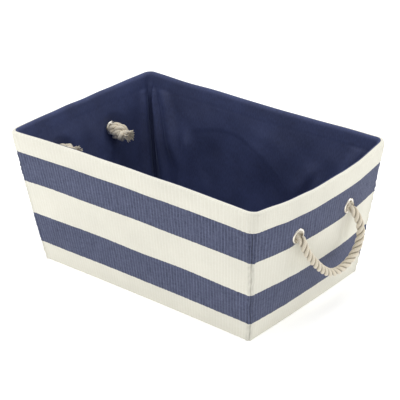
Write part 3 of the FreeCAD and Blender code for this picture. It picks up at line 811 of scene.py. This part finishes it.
def bindingPlace(across, up):
    inset, height, along = bindingProfile(up)
    rise = np.minimum(height / totalHeight, 1.0)
    x, y, nx, ny = loopPlace(across + binding["start"], rise)
    nearCorner = cornerNearness(x, y, 26 * mm)
    lower = 1 - smooth(20 * mm, 26 * mm, along)
    turn = 2 * math.pi * across * binding["puckerCount"]
    wave = np.sin(turn + 2 * ripples(x, y, along, 5, 24 * mm))
    push = binding["puckerHeight"] * wave * nearCorner * lower
    push = push + 0.25 * mm * ripples(x, y, along, 6, 42 * mm)
    push = push + 0.12 * mm * ripples(x, y, along * 0.5, 8, 10 * mm)
    push = push - binding["seamSink"] * hump(along, binding["seamUp"], 1.0 * mm)
    z = height - droopAt(x, y, rise) + rimWander(x, y)
    return (x - nx * (inset - push), y - ny * (inset - push), z, across * binding["length"],
            along + bindingBottom)


rimBinding = clothGrid("rim_binding_strip", 560, 26, bindingPlace, closed=True)
finishCloth(rimBinding, binding["thickness"], -1, creamCotton)
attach(rimBinding, "bin")
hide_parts("rim_binding")
print("rim binding ready")


# the rim wire follows the dipping rim inside the roll
wireLow, wireHigh = [corner[2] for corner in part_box("rim_wire")]
rimWire = {
    "inset": 3.4 * mm, "radius": wireHigh / 2 - wireLow / 2, "height": (wireHigh + wireLow) / 2,
}


def rimWirePlace(across, up):
    turn = up * 2 * math.pi
    rise = rimWire["height"] / totalHeight + 0 * across
    x, y, nx, ny = loopPlace(across, rise)
    inset = rimWire["inset"] + rimWire["radius"] * np.cos(turn)
    z = rimWire["height"] + rimWire["radius"] * np.sin(turn) - droopAt(x, y, rise)
    z = z + rimWander(x, y)
    return x - nx * inset, y - ny * inset, z, across, up


ringPiece = clothGrid("rim_wire_ring", 240, 12, rimWirePlace, closed=True)
faceOutwards(ringPiece)
smoothShaded(ringPiece)
setMaterial(ringPiece, drawnSteel)
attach(ringPiece, "bin")
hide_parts("rim_wire")


# straight rods from the base ring up to the rim ring
cornerRod = {
    "radius": 1.5 * mm, "foot": 3.4 * mm, "head": 175 * mm, "inset": 3.2 * mm,
    "points": 24, "sides": 14,
}


def cornerPlace(sideX, sideY, height):
    wall = "right" if sideX > 0 else "left"
    share, rise = np.array(float(sideX * sideY)), np.array(height / totalHeight)
    x, y, nx, ny = [float(value) for value in wallPlace(wall, share, rise)[:4]]
    return x - nx * cornerRod["inset"], y - ny * cornerRod["inset"], height


for endName, sideX in (("left", -1), ("right", 1)):
    for wallName, sideY in (("front", -1), ("back", 1)):
        heights = np.linspace(cornerRod["foot"], cornerRod["head"], cornerRod["points"])
        rodLine = np.array([cornerPlace(sideX, sideY, height) for height in heights])
        rod = tubeAlong(f"corner_rod_{wallName}_{endName}", rodLine, cornerRod["radius"],
                        cornerRod["sides"])
        smoothShaded(rod, 40 * deg)
        setMaterial(rod, drawnSteel)
        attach(rod, "bin")
        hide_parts(f"corner_wire_{wallName}_{endName}")
print("rim and corner wires ready")


# one sewn tube of cloth, folded over the roll and hanging to the floor
lining = {
    "overRoll": 0.5 * mm,         # it lies over the binding's edge on the roll
    # its edge lies 5 degrees past the roll's top at the back and left, and 24 degrees short
    # of it at the front and right
    "edgeTurn": (-5 * deg, 24 * deg),
    "facingDepth": 19 * mm,       # the sewn facing below the rim
    "facingInset": 6.8 * mm, "wallInset": 6.8 * mm, "footInset": 7.0 * mm,
    "leastInset": 3.3 * mm, "pinchInset": 3.05 * mm,
    "ease": 6 * mm,               # cut rounder than the cover at the corners
    "cornerInset": (8 * mm, 7 * mm),
    "thickness": 0.7 * mm,
    "start": 0.375,               # the tube's own seam, in a corner
    "length": 1180 * mm, "flat": (1180 * mm, 174 * mm),
    "strayFolds": 15,
}


def cornerDistance(x, y, below):
    # the distance to the nearest corner along the wall, positive along the long walls
    narrowing = below / totalHeight
    insetX, insetY = lining["cornerInset"]
    toEnd = binShape["rimLength"] / 2 - insetX - binShape["endTaper"] * narrowing - np.abs(x)
    toSide = binShape["rimWidth"] / 2 - insetY - binShape["sideTaper"] * narrowing - np.abs(y)
    return np.where(toEnd > toSide, np.maximum(toEnd, 0), -np.maximum(toSide, 0))


def cornerFolds(x, y, below):
    # below the facing the slack cloth gathers into folds that spread as they hang
    away = cornerDistance(x, y, below)
    total = 0 * x
    for index, (sideX, sideY) in enumerate(((-1, 1), (1, 1), (1, -1), (-1, -1))):
        here = (x * sideX > 0) & (y * sideY > 0)
        draw = random.Random(70 + index)
        tall = 1.0 if index == 0 else draw.uniform(0.6, 1.0)
        spread = 1.0 if index == 0 else draw.uniform(0.8, 1.25)
        deep = smooth(8 * mm, 40 * mm, below)
        low = smooth(50 * mm, 85 * mm, below)
        # a crease runs off along the long wall, another hangs straight further along
        crease = 8 * mm + 0.20 * spread * (below - 20 * mm)
        hanging = 60 * mm * spread - 0.137 * below
        # the ridges stand between the creases
        fade = 1 - 0.75 * smooth(80 * mm, 125 * mm, below)
        ridge = 5.0 * mm * hump(away, -11 * mm, 6.0 * mm)
        ridge = ridge + 6.8 * mm * hump(away, 0.52 * crease, 0.27 * crease + 0.8 * mm)
        ridge = ridge + 6.0 * mm * fade * hump(away, crease + 14 * mm, 9.5 * mm, 2.6)
        ridge = ridge + 5.0 * mm * low * hump(away - hanging, 13 * mm, 8.5 * mm, 2.4)
        ridge = ridge - 2.0 * mm * hump(away, 0, 3 * mm)
        total = np.where(here, tall * ridge * deep, total)
    return total


def backBillow(x, y, height):
    # the back wall's cloth billows out over a large curved sag
    reach = np.where(x > -43 * mm, 105 * mm, 125 * mm)
    arch = 131 * mm - 62 * mm * ((x + 43 * mm) / reach) ** 2
    under = arch - height
    edge = 1.0 * mm * smooth(-2 * mm, 5 * mm, under) + 3.2 * mm * smooth(0, 48 * mm, under)
    back = (y > 60 * mm) * (1 - smooth(85 * mm, 115 * mm, np.abs(x)))
    return -back * edge * (1 - smooth(55 * mm, 120 * mm, under))


def strayFolds(around, below):
    # a few long soft folds wander down the walls
    draw = random.Random(91)
    total = 0 * around
    for _ in range(lining["strayFolds"]):
        centre = draw.uniform(0, lining["length"])
        slope = draw.uniform(-0.55, 0.55)
        width = draw.uniform(9, 20) * mm
        tall = draw.uniform(0.8, 2.4) * mm
        top, bottom = draw.uniform(22, 60) * mm, draw.uniform(115, 168) * mm
        offset = around - centre - slope * (below - top) - 1.2 * (below - top) ** 2 * slope
        offset = (offset + lining["length"] / 2) % lining["length"] - lining["length"] / 2
        # each fold is steeper on one side
        shape = np.where(offset > 0, hump(offset, 0, width), hump(offset, 0, width * 0.45))
        total = total + tall * shape * smooth(top, top + 25 * mm, below) * (
            1 - smooth(bottom - 30 * mm, bottom, below))
    return total


def crowded(share):
    # once round the bin with the columns crowding towards the corners
    along = share * 4 + 0.5
    wall = np.floor(along)
    within = along - wall
    return (wall + within - 0.6 * np.sin(2 * math.pi * within) / (2 * math.pi) - 0.5) / 4


def liningPlace(across, up):
    # up runs from the floor to the facing's seam and then over the roll
    across = crowded(across + lining["start"]) - lining["start"]
    rollTop = totalHeight - binding["rollRadius"]
    rollRadius = binding["rollRadius"] + lining["overRoll"] * (1 - smooth(0.975, 1.0, up) * 0.8)
    straight = rollTop - floorTop
    rimX, rimY = loopPlace(across + lining["start"], 1.0 + 0 * up)[:2]
    lean = smooth(-0.8, 0.8, 2 * rimX / binShape["rimLength"] - 2 * rimY / binShape["rimWidth"] + 0.5)
    edge = lining["edgeTurn"][0] + (lining["edgeTurn"][1] - lining["edgeTurn"][0]) * lean
    arcLength = rollRadius * (math.pi / 2 - edge)
    along = up * (straight + arcLength)
    turn = np.clip((along - straight) / rollRadius, 0, None)
    height = np.where(along < straight, floorTop + along, rollTop + rollRadius * np.sin(turn))
    rollSide = binding["rollInset"] + rollRadius * np.cos(turn)
    rise = np.clip(height / totalHeight, 0, 1)
    below = totalHeight - height
    around = (across + lining["start"]) % 1.0 * lining["length"]
    depth = lining["facingDepth"]
    ease = lining["ease"] * smooth(depth - 12 * mm, depth + 14 * mm, below)
    x, y, nx, ny = loopPlace(across + lining["start"], rise, ease)
    facing = rollSide + (lining["facingInset"] - rollSide) * smooth(4 * mm, depth, below)
    hang = smooth(depth - 1 * mm, depth + 3 * mm, below)
    loose = smooth(depth + 1 * mm, depth + 26 * mm, below)
    settle = smooth(0, 22 * mm, height - floorTop)
    inset = facing + (lining["wallInset"] - facing) * hang
    inset = inset - 0.3 * mm * hump(below, depth, 1.1 * mm)          # the seam sinks in
    inset = inset + (lining["footInset"] - lining["wallInset"]) * (
        1 - smooth(0, 30 * mm, height - floorTop))
    body = 0.6 + 1.3 * ripples(x, y, height * 0.5, 31, 75 * mm)
    body = body + 0.45 * ripples(x, y, height, 32, 36 * mm)
    inset = inset + mm * body * loose * settle
    inset = inset + strayFolds(around, below) * loose * settle
    inset = inset + backBillow(x, y, height)
    inset = inset + cornerFolds(x, y, below) * hang * (0.25 + 0.75 * settle)
    pucker = 0.3 * mm * ripples(x * 2, y * 2, below * 0.3, 34, 14 * mm)
    inset = inset + pucker * hump(below, depth + 2 * mm, 7 * mm)
    inset = np.where(below > 10 * mm, np.maximum(inset, lining["leastInset"]), inset)
    # the eyelets pinch it against the cover
    offEyelet = np.hypot(np.abs(y) - eyeletLook["halfSpacing"],
                         below - eyeletLook["belowRim"] + eyeletLook["lift"])
    pinched = (np.abs(x) > 150 * mm) * (1 - smooth(9 * mm, 28 * mm, offEyelet))
    inset = inset + (lining["pinchInset"] - inset) * pinched
    z = height - droopAt(x, y, rise) + rimWander(x, y) * smooth(0.7, 0.95, rise)
    return x - nx * inset, y - ny * inset, z, across * lining["length"], height


liningPiece = clothGrid("lining_walls", 560, 85, liningPlace, closed=True)
pierce(liningPiece, "left", "right")
finishCloth(liningPiece, lining["thickness"], 0, navyLining)
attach(liningPiece, "bin")
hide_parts("lining_front", "lining_back", "lining_left", "lining_right")
print("lining ready")


# the two flat cloths at the bottom
floorCloth = {"inset": 3.6 * mm, "corner": 11 * mm, "columns": 120, "rows": 80}
underCloth = {"inset": 1.9 * mm, "corner": 5 * mm, "columns": 120, "rows": 80, "thickness": 1.1 * mm}


def platePlace(look, heightAt):
    # a sheet inside the outline near the base, its corners rounded
    def place(across, up):
        u, v = across * 2 - 1, up * 2 - 1
        halfLength = binShape["rimLength"] / 2 - binShape["endTaper"] - look["inset"]
        halfWidth = binShape["rimWidth"] / 2 - binShape["sideTaper"] - look["inset"]
        x, y = u * halfLength, v * halfWidth
        cornerX, cornerY = halfLength - look["corner"], halfWidth - look["corner"]
        dx, dy = np.clip(np.abs(x) - cornerX, 0, None), np.clip(np.abs(y) - cornerY, 0, None)
        far = np.maximum(np.hypot(dx, dy), 1e-9)
        shrink = np.where((dx > 0) & (dy > 0), np.maximum(dx, dy) / far, 1.0)
        x = np.sign(x) * (np.minimum(np.abs(x), cornerX) + dx * shrink)
        y = np.sign(y) * (np.minimum(np.abs(y), cornerY) + dy * shrink)
        edge = np.minimum(halfLength - np.abs(x), halfWidth - np.abs(y))
        return x, y, heightAt(x, y, edge), x, y
    return place


def floorHeight(x, y, edge):
    # drawn down at the edge seam, with soft creases over the board
    return (floorBottom + 1.0 * mm + 0.5 * mm * smooth(0, 6 * mm, edge)
            + 0.45 * mm * ripples(x, y, 0 * x, 41, 75 * mm) * smooth(2 * mm, 30 * mm, edge))


liningFloor = clothGrid("lining_floor_cloth", floorCloth["columns"], floorCloth["rows"],
                        platePlace(floorCloth, floorHeight))
finishCloth(liningFloor, lining["thickness"], -1, navyLining)
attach(liningFloor, "bin")
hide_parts("lining_floor")


def baseHeight(x, y, edge):
    # the underside is flat where it stands and lifts at its edge seam
    return 0.15 * mm + 0.5 * mm * (1 - smooth(0, 4 * mm, edge))


baseCloth = clothGrid("base_cloth", underCloth["columns"], underCloth["rows"],
                      platePlace(underCloth, baseHeight))
finishCloth(baseCloth, underCloth["thickness"], -1, navyLining)
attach(baseCloth, "bin")
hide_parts("base_cover")
print("floor and base ready")


def turnedRing(name, profile):
    # a ring turned about Z from a closed profile of (radius, height) points
    count = len(profile)
    radii = np.array([radius for radius, height in profile] + [profile[0][0]])
    heights = np.array([height for radius, height in profile] + [profile[0][1]])

    def place(across, up):
        turn = across * 2 * math.pi
        spot = up * count
        radius = np.interp(spot, range(count + 1), radii)
        height = np.interp(spot, range(count + 1), heights)
        return radius * np.cos(turn), radius * np.sin(turn), height, across, up

    piece = clothGrid(name, eyeletLook["segments"], count, place, closed=True)
    faceOutwards(piece)
    applyModifier(piece, "SUBSURF", levels=2, render_levels=2)
    smoothShaded(piece)
    return piece


def eyeletProfile():
    # a domed flange on a barrel
    bore, outer, dome = eyeletLook["boreRadius"], eyeletLook["outerRadius"], eyeletLook["dome"]
    middle = (bore + outer) / 2
    return [
        (bore, -4.9 * mm), (bore, -2.0 * mm), (bore, 0.0 * mm), (bore + 0.35 * mm, dome * 0.75),
        (middle - 0.4 * mm, dome), (middle + 0.9 * mm, dome * 0.85), (outer - 0.35 * mm, dome * 0.4),
        (outer, 0.05 * mm), (outer - 0.3 * mm, -0.15 * mm), (bore + 1.0 * mm, -0.15 * mm),
        (bore + 0.8 * mm, -2.0 * mm), (bore + 0.8 * mm, -4.9 * mm),
    ]


def washerProfile():
    # a flat washer, with the barrel's end rolled back over it
    bore, outer = eyeletLook["boreRadius"], eyeletLook["outerRadius"]
    return [
        (bore + 0.95 * mm, -3.5 * mm), (outer - 0.3 * mm, -3.5 * mm), (outer, -3.8 * mm),
        (outer - 0.3 * mm, -4.25 * mm), (bore + 2.4 * mm, -4.35 * mm),
        (bore + 1.6 * mm, -5.1 * mm), (bore + 0.6 * mm, -5.2 * mm), (bore + 0.85 * mm, -4.4 * mm),
    ]


for (end, side), matrix in eyelets.items():
    for part, profile in (("eyelet", eyeletProfile()), ("washer", washerProfile())):
        ring = turnedRing(f"{end}_{part}_{side}_ring", profile)
        placed(ring, matrix)
        faceOutwards(ring)
        setMaterial(ring, nickelPlate)
        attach(ring, "bin")
        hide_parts(f"{end}_{part}_{side}")
print("eyelets ready")


rope = {
    "diameter": 10 * mm,
    "strandRadius": 2.5 * mm,
    "lay": 27 * mm,               # one full turn of a strand
    "yarnPitch": 14 * mm, "yarnCount": 7,
    "throughEyelet": (-9 * mm, 1.0 * mm, 6.05 * mm),   # inside, in the hole, clear of it
    "sides": 16, "step": 1.1 * mm, "looseness": 0.15 * mm,
    "strandShift": 7 * mm,        # so that the three strands don't show the same fibres
    # in millimetres from the middle between the eyelets: out from the wall, along it towards
    # the back, and up
    "route": [
        (2.4, -46.0, -15.0), (3.9, -32.0, -34.0), (4.4, -15.0, -52.0), (4.4, 4.0, -64.5),
        (4.9, 26.0, -65.5), (5.9, 45.0, -57.0), (6.6, 57.5, -40.5), (5.5, 58.5, -20.0),
    ],
}
twistedCotton = cottonRope("natural cotton rope", rope["yarnPitch"], rope["yarnCount"])


def splineLine(name, points, step):
    # a smooth NURBS through the route's control points, read back at even steps
    curve = bpy.data.curves.new(name, "CURVE")
    curve.dimensions = "3D"
    curve.resolution_u = 24
    spline = curve.splines.new("NURBS")
    spline.points.add(len(points) - 1)
    for point, place in zip(spline.points, points):
        point.co = (*place, 1)
    spline.order_u = 3
    spline.use_endpoint_u = True
    holder = bpy.data.objects.new(name, curve)
    bpy.context.collection.objects.link(holder)
    mesh = bpy.data.meshes.new_from_object(holder)
    line = np.array([vertex.co for vertex in mesh.vertices])
    bpy.data.objects.remove(holder)
    lengths = lengthsAlong(line)
    count = max(8, int(lengths[-1] / step))
    spots = np.linspace(0, lengths[-1], count + 1)
    return np.stack([np.interp(spots, lengths, line[:, axis]) for axis in range(3)], 1), lengths[-1]


def markOutward(piece, line, ropeRadius):
    # how far each point lies from the rope's middle, for the painted shade in the grooves
    spots = pointsOf(piece)
    nearest = np.min([np.linalg.norm(spots - point, axis=1) for point in line], axis=0)
    markPoints(piece, "outward", nearest / ropeRadius)


def laidRope(name, line, strandRadius, ropeRadius, lay, phase=0.0):
    # three strands laid together, closed at their ends
    lines = strandLines(line, lay, ropeRadius - strandRadius, phase)
    strands = [tubeAlong(f"{name}_{i}", each, strandRadius, rope["sides"],
                         startAt=i * rope["strandShift"]) for i, each in enumerate(lines)]
    for strand in strands:
        markOutward(strand, line, ropeRadius)
    piece = joined(name, strands)
    smoothShaded(piece, 60 * deg)
    setMaterial(piece, twistedCotton)
    return piece


def ropeRoute(end):
    # out through the front eyelet, down round the loop and in through the back one
    side = 1 if end == "right" else -1
    pivot = handlePivot[end]
    outwards = [Vector((0, 0, out)) for out in rope["throughEyelet"]]
    front = [ropeExits[end, "front"] @ place for place in outwards]
    back = [ropeExits[end, "back"] @ place for place in reversed(outwards)]
    loop = [pivot + Vector((side * out, along, up)) * mm for out, along, up in rope["route"]]
    return front + loop + back


handles = {}
for end in ("left", "right"):
    line, length = splineLine(f"{end}_route", ropeRoute(end), rope["step"])
    piece = laidRope(f"{end}_handle_twisted_rope", line, rope["strandRadius"],
                     rope["diameter"] / 2 + rope["looseness"], rope["lay"])
    handles[end] = (piece, line, length)
    print(end, "handle rope", round(length * 1000), "mm")


knotLook = {
    "turnRadius": 6.6 * mm, "ropeRadius": 5.2 * mm, "strandRadius": 3.1 * mm,
    "turns": 2.0, "turnPoints": 13, "advance": 17 * mm, "tail": 3.5 * mm, "lay": 19 * mm,
    "step": 0.9 * mm, "start": (0, 2.0 * mm, -3.6 * mm),
    "droop": {"left_front": -15 * deg, "left_back": 7 * deg, "right_front": 9 * deg,
              "right_back": 3 * deg},
    "tuftCount": 130, "tuftRadius": 5.0 * mm,
    "fibreRadii": (1.0 * mm, 1.0 * mm, 0.95 * mm, 0.8 * mm, 0.45 * mm), "fibreSides": 6,
}


def knotRoute():
    # along Z away from the wall: the rope comes in straight, doubles back round itself in
    # helical turns and comes out through the middle as the tail
    look = knotLook
    points = [(0, 0, -7 * mm), (0, 0, 0), (0.5 * mm, 0, 9 * mm), (2.5 * mm, -1 * mm, 17 * mm),
              (5.5 * mm, -2 * mm, 21.5 * mm)]
    for step in range(look["turnPoints"] + 1):
        share = step / look["turnPoints"]
        turn = share * look["turns"] * 2 * math.pi
        height = 21.5 * mm - look["advance"] * share ** 1.1
        points.append((look["turnRadius"] * math.cos(turn), look["turnRadius"] * math.sin(turn),
                       height))
    points += [(-3.5 * mm, -1.5 * mm, 10 * mm), (-1.5 * mm, 0, 18 * mm), (0, -0.5 * mm, 25 * mm),
               (0, -1.0 * mm, 26 * mm + look["tail"])]
    return points


def frayedTuft(name, centre, heading, radius, seed):
    # loose fibres that open out from the cut end
    draw = random.Random(seed)
    side = heading.orthogonal().normalized()
    other = heading.cross(side)
    fibres = []
    for index in range(knotLook["tuftCount"]):
        turn = draw.uniform(0, 2 * math.pi)
        off = radius * math.sqrt(draw.uniform(0, 1))
        outward = side * math.cos(turn) + other * math.sin(turn)
        length = draw.uniform(3.0, 5.8) * mm
        flare = off / radius * draw.uniform(0.08, 0.36) + draw.uniform(0, 0.08)
        start = centre + outward * off - heading * 3 * mm
        bend = side * draw.uniform(-1, 1) + other * draw.uniform(-1, 1)
        line = []
        for step in range(5):
            share = step / 4
            line.append(start + (heading * share + outward * flare * share ** 1.5
                                 + bend * 0.18 * share ** 2) * (length + 3 * mm))
        fibres.append(tubeAlong(f"{name}_{index}", np.array([tuple(point) for point in line]),
                                np.array(knotLook["fibreRadii"]), knotLook["fibreSides"]))
    piece = joined(name, fibres)
    markPoints(piece, "outward", [1.0] * len(piece.data.vertices))
    smoothShaded(piece, 80 * deg)
    return piece


def ropeKnot(name, matrix, end, droop, seed):
    line = splineLine(name + "_route", knotRoute(), knotLook["step"])[0]
    piece = laidRope(name, line, knotLook["strandRadius"], knotLook["ropeRadius"],
                     knotLook["lay"], phase=seed)
    tip, before = Vector(line[-1]), Vector(line[-6])
    heading = (tip - before).normalized()
    tuft = frayedTuft(name + "_tuft", tip, heading, knotLook["tuftRadius"], seed)
    piece = joined(name, [piece, tuft])
    setMaterial(piece, twistedCotton)
    # from the washer inwards, drooping a little
    inward = Vector((-1 if end == "right" else 1, 0, -math.tan(droop))).normalized()
    start = matrix @ Vector(knotLook["start"])
    across = Vector((0, 1, 0))
    upward = inward.cross(across)
    axes = Matrix((across, upward, inward)).transposed().to_4x4()
    spin = Matrix.Rotation(seed * 1.7, 4, "Z")
    return placed(piece, Matrix.Translation(start) @ axes @ spin)


for seed, ((end, side), matrix) in enumerate(ropeExits.items(), start=1):
    knot = ropeKnot(f"{end}_rope_knot_{side}", matrix, end, knotLook["droop"][f"{end}_{side}"], seed)
    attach(knot, "bin")
    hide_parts(f"{end}_knot_{side}")
print("knots ready")

for end in ("left", "right"):
    piece, line, length = handles[end]
    side = 1 if end == "right" else -1
    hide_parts(f"{end}_handle_rope")
    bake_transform(piece)
print("handles ready")


# CAD pieces that stay, with their own finishes
setMaterial(bpy.data.objects["base_wire"], drawnSteel)
setMaterial(bpy.data.objects["base_board"], chipboard)


studio = {
    "floorDark": "#f4f4f3", "floorLight": "#f8f8f7", "floorGlow": 0.3, "floorSize": 8,
    "floorHeight": -0.00005,      # just under the bin, so that the two don't share a plane
    "world": 0.65,
    "camera": {"azimuth": 40.857 * deg, "elevation": 25.965 * deg, "roll": -1.49 * deg,
               "distance": 1.7965, "lens": 130.46,
               "target": (-0.0030, 0.0089, 0.0850)},
    # each softbox's place, what it is aimed at, its size and its power
    "softboxes": {
        "overhead": ((0, 0, 2.2), (0, 0, 0), (2.0, 2.0), 27),
        "key": ((-0.36, -0.62, 0.42), (-0.10, 0, 0.09), (0.35, 0.35), 1.0),
        "side": ((0.62, 0.62, 0.5), (0.15, 0.05, 0.1), (0.5, 0.5), 1.7),
    },
}

bpy.ops.mesh.primitive_plane_add(size=studio["floorSize"], location=(0, 0, studio["floorHeight"]))
floor = bpy.context.object
floor.name = "studio_floor"
bpy.ops.object.transform_apply(location=True, rotation=True, scale=True)
floorPaint, floorTree = newMaterial("matt white sweep")
floorSpot = add(floorTree, "TexCoord").outputs["Object"]
floorGrain = add(floorTree, "TexNoise", [("Vector", floorSpot)], Scale=40.0, Detail=2.0)
floorTone = mixed(floorTree, floorGrain.outputs[0], srgb(studio["floorDark"]),
                  srgb(studio["floorLight"]))
# a lit table top
finishMaterial(floorTree, floorTone, Roughness=0.9, Emission_Color=(1, 1, 1, 1),
               Emission_Strength=studio["floorGlow"])
setMaterial(floor, floorPaint)

world = bpy.data.worlds.new("studio")
bpy.context.scene.world = world
world.use_nodes = True
world.node_tree.nodes["Background"].inputs[0].default_value = (1, 1, 1, 1)
world.node_tree.nodes["Background"].inputs[1].default_value = studio["world"]


def softbox(name, place, aim, size, power):
    light = bpy.data.lights.new(name, "AREA")
    light.shape = "RECTANGLE"
    light.size, light.size_y = size
    light.energy = power
    lamp = bpy.data.objects.new(name, light)
    bpy.context.collection.objects.link(lamp)
    lamp.location = place
    lamp.rotation_mode = "QUATERNION"
    lamp.rotation_quaternion = (Vector(aim) - Vector(place)).to_track_quat("-Z", "Y")


for name, settings in studio["softboxes"].items():
    softbox(name, *settings)

look = studio["camera"]
back = Vector((math.sin(look["azimuth"]) * math.cos(look["elevation"]),
               -math.cos(look["azimuth"]) * math.cos(look["elevation"]),
               math.sin(look["elevation"])))
cameraData = bpy.data.cameras.new("camera")
cameraData.sensor_width = 36
cameraData.lens = look["lens"]
camera = bpy.data.objects.new("camera", cameraData)
bpy.context.collection.objects.link(camera)
right = Vector((0, 0, 1)).cross(back).normalized()
upward = back.cross(right)
roll = look["roll"]
rolledRight = right * math.cos(roll) + upward * math.sin(roll)
rolledUp = upward * math.cos(roll) - right * math.sin(roll)
axes = Matrix((rolledRight, rolledUp, back)).transposed().to_4x4()
camera.matrix_world = Matrix.Translation(Vector(look["target"]) + back * look["distance"]) @ axes
bpy.context.scene.camera = camera
bpy.context.scene.view_settings.view_transform = "Standard"
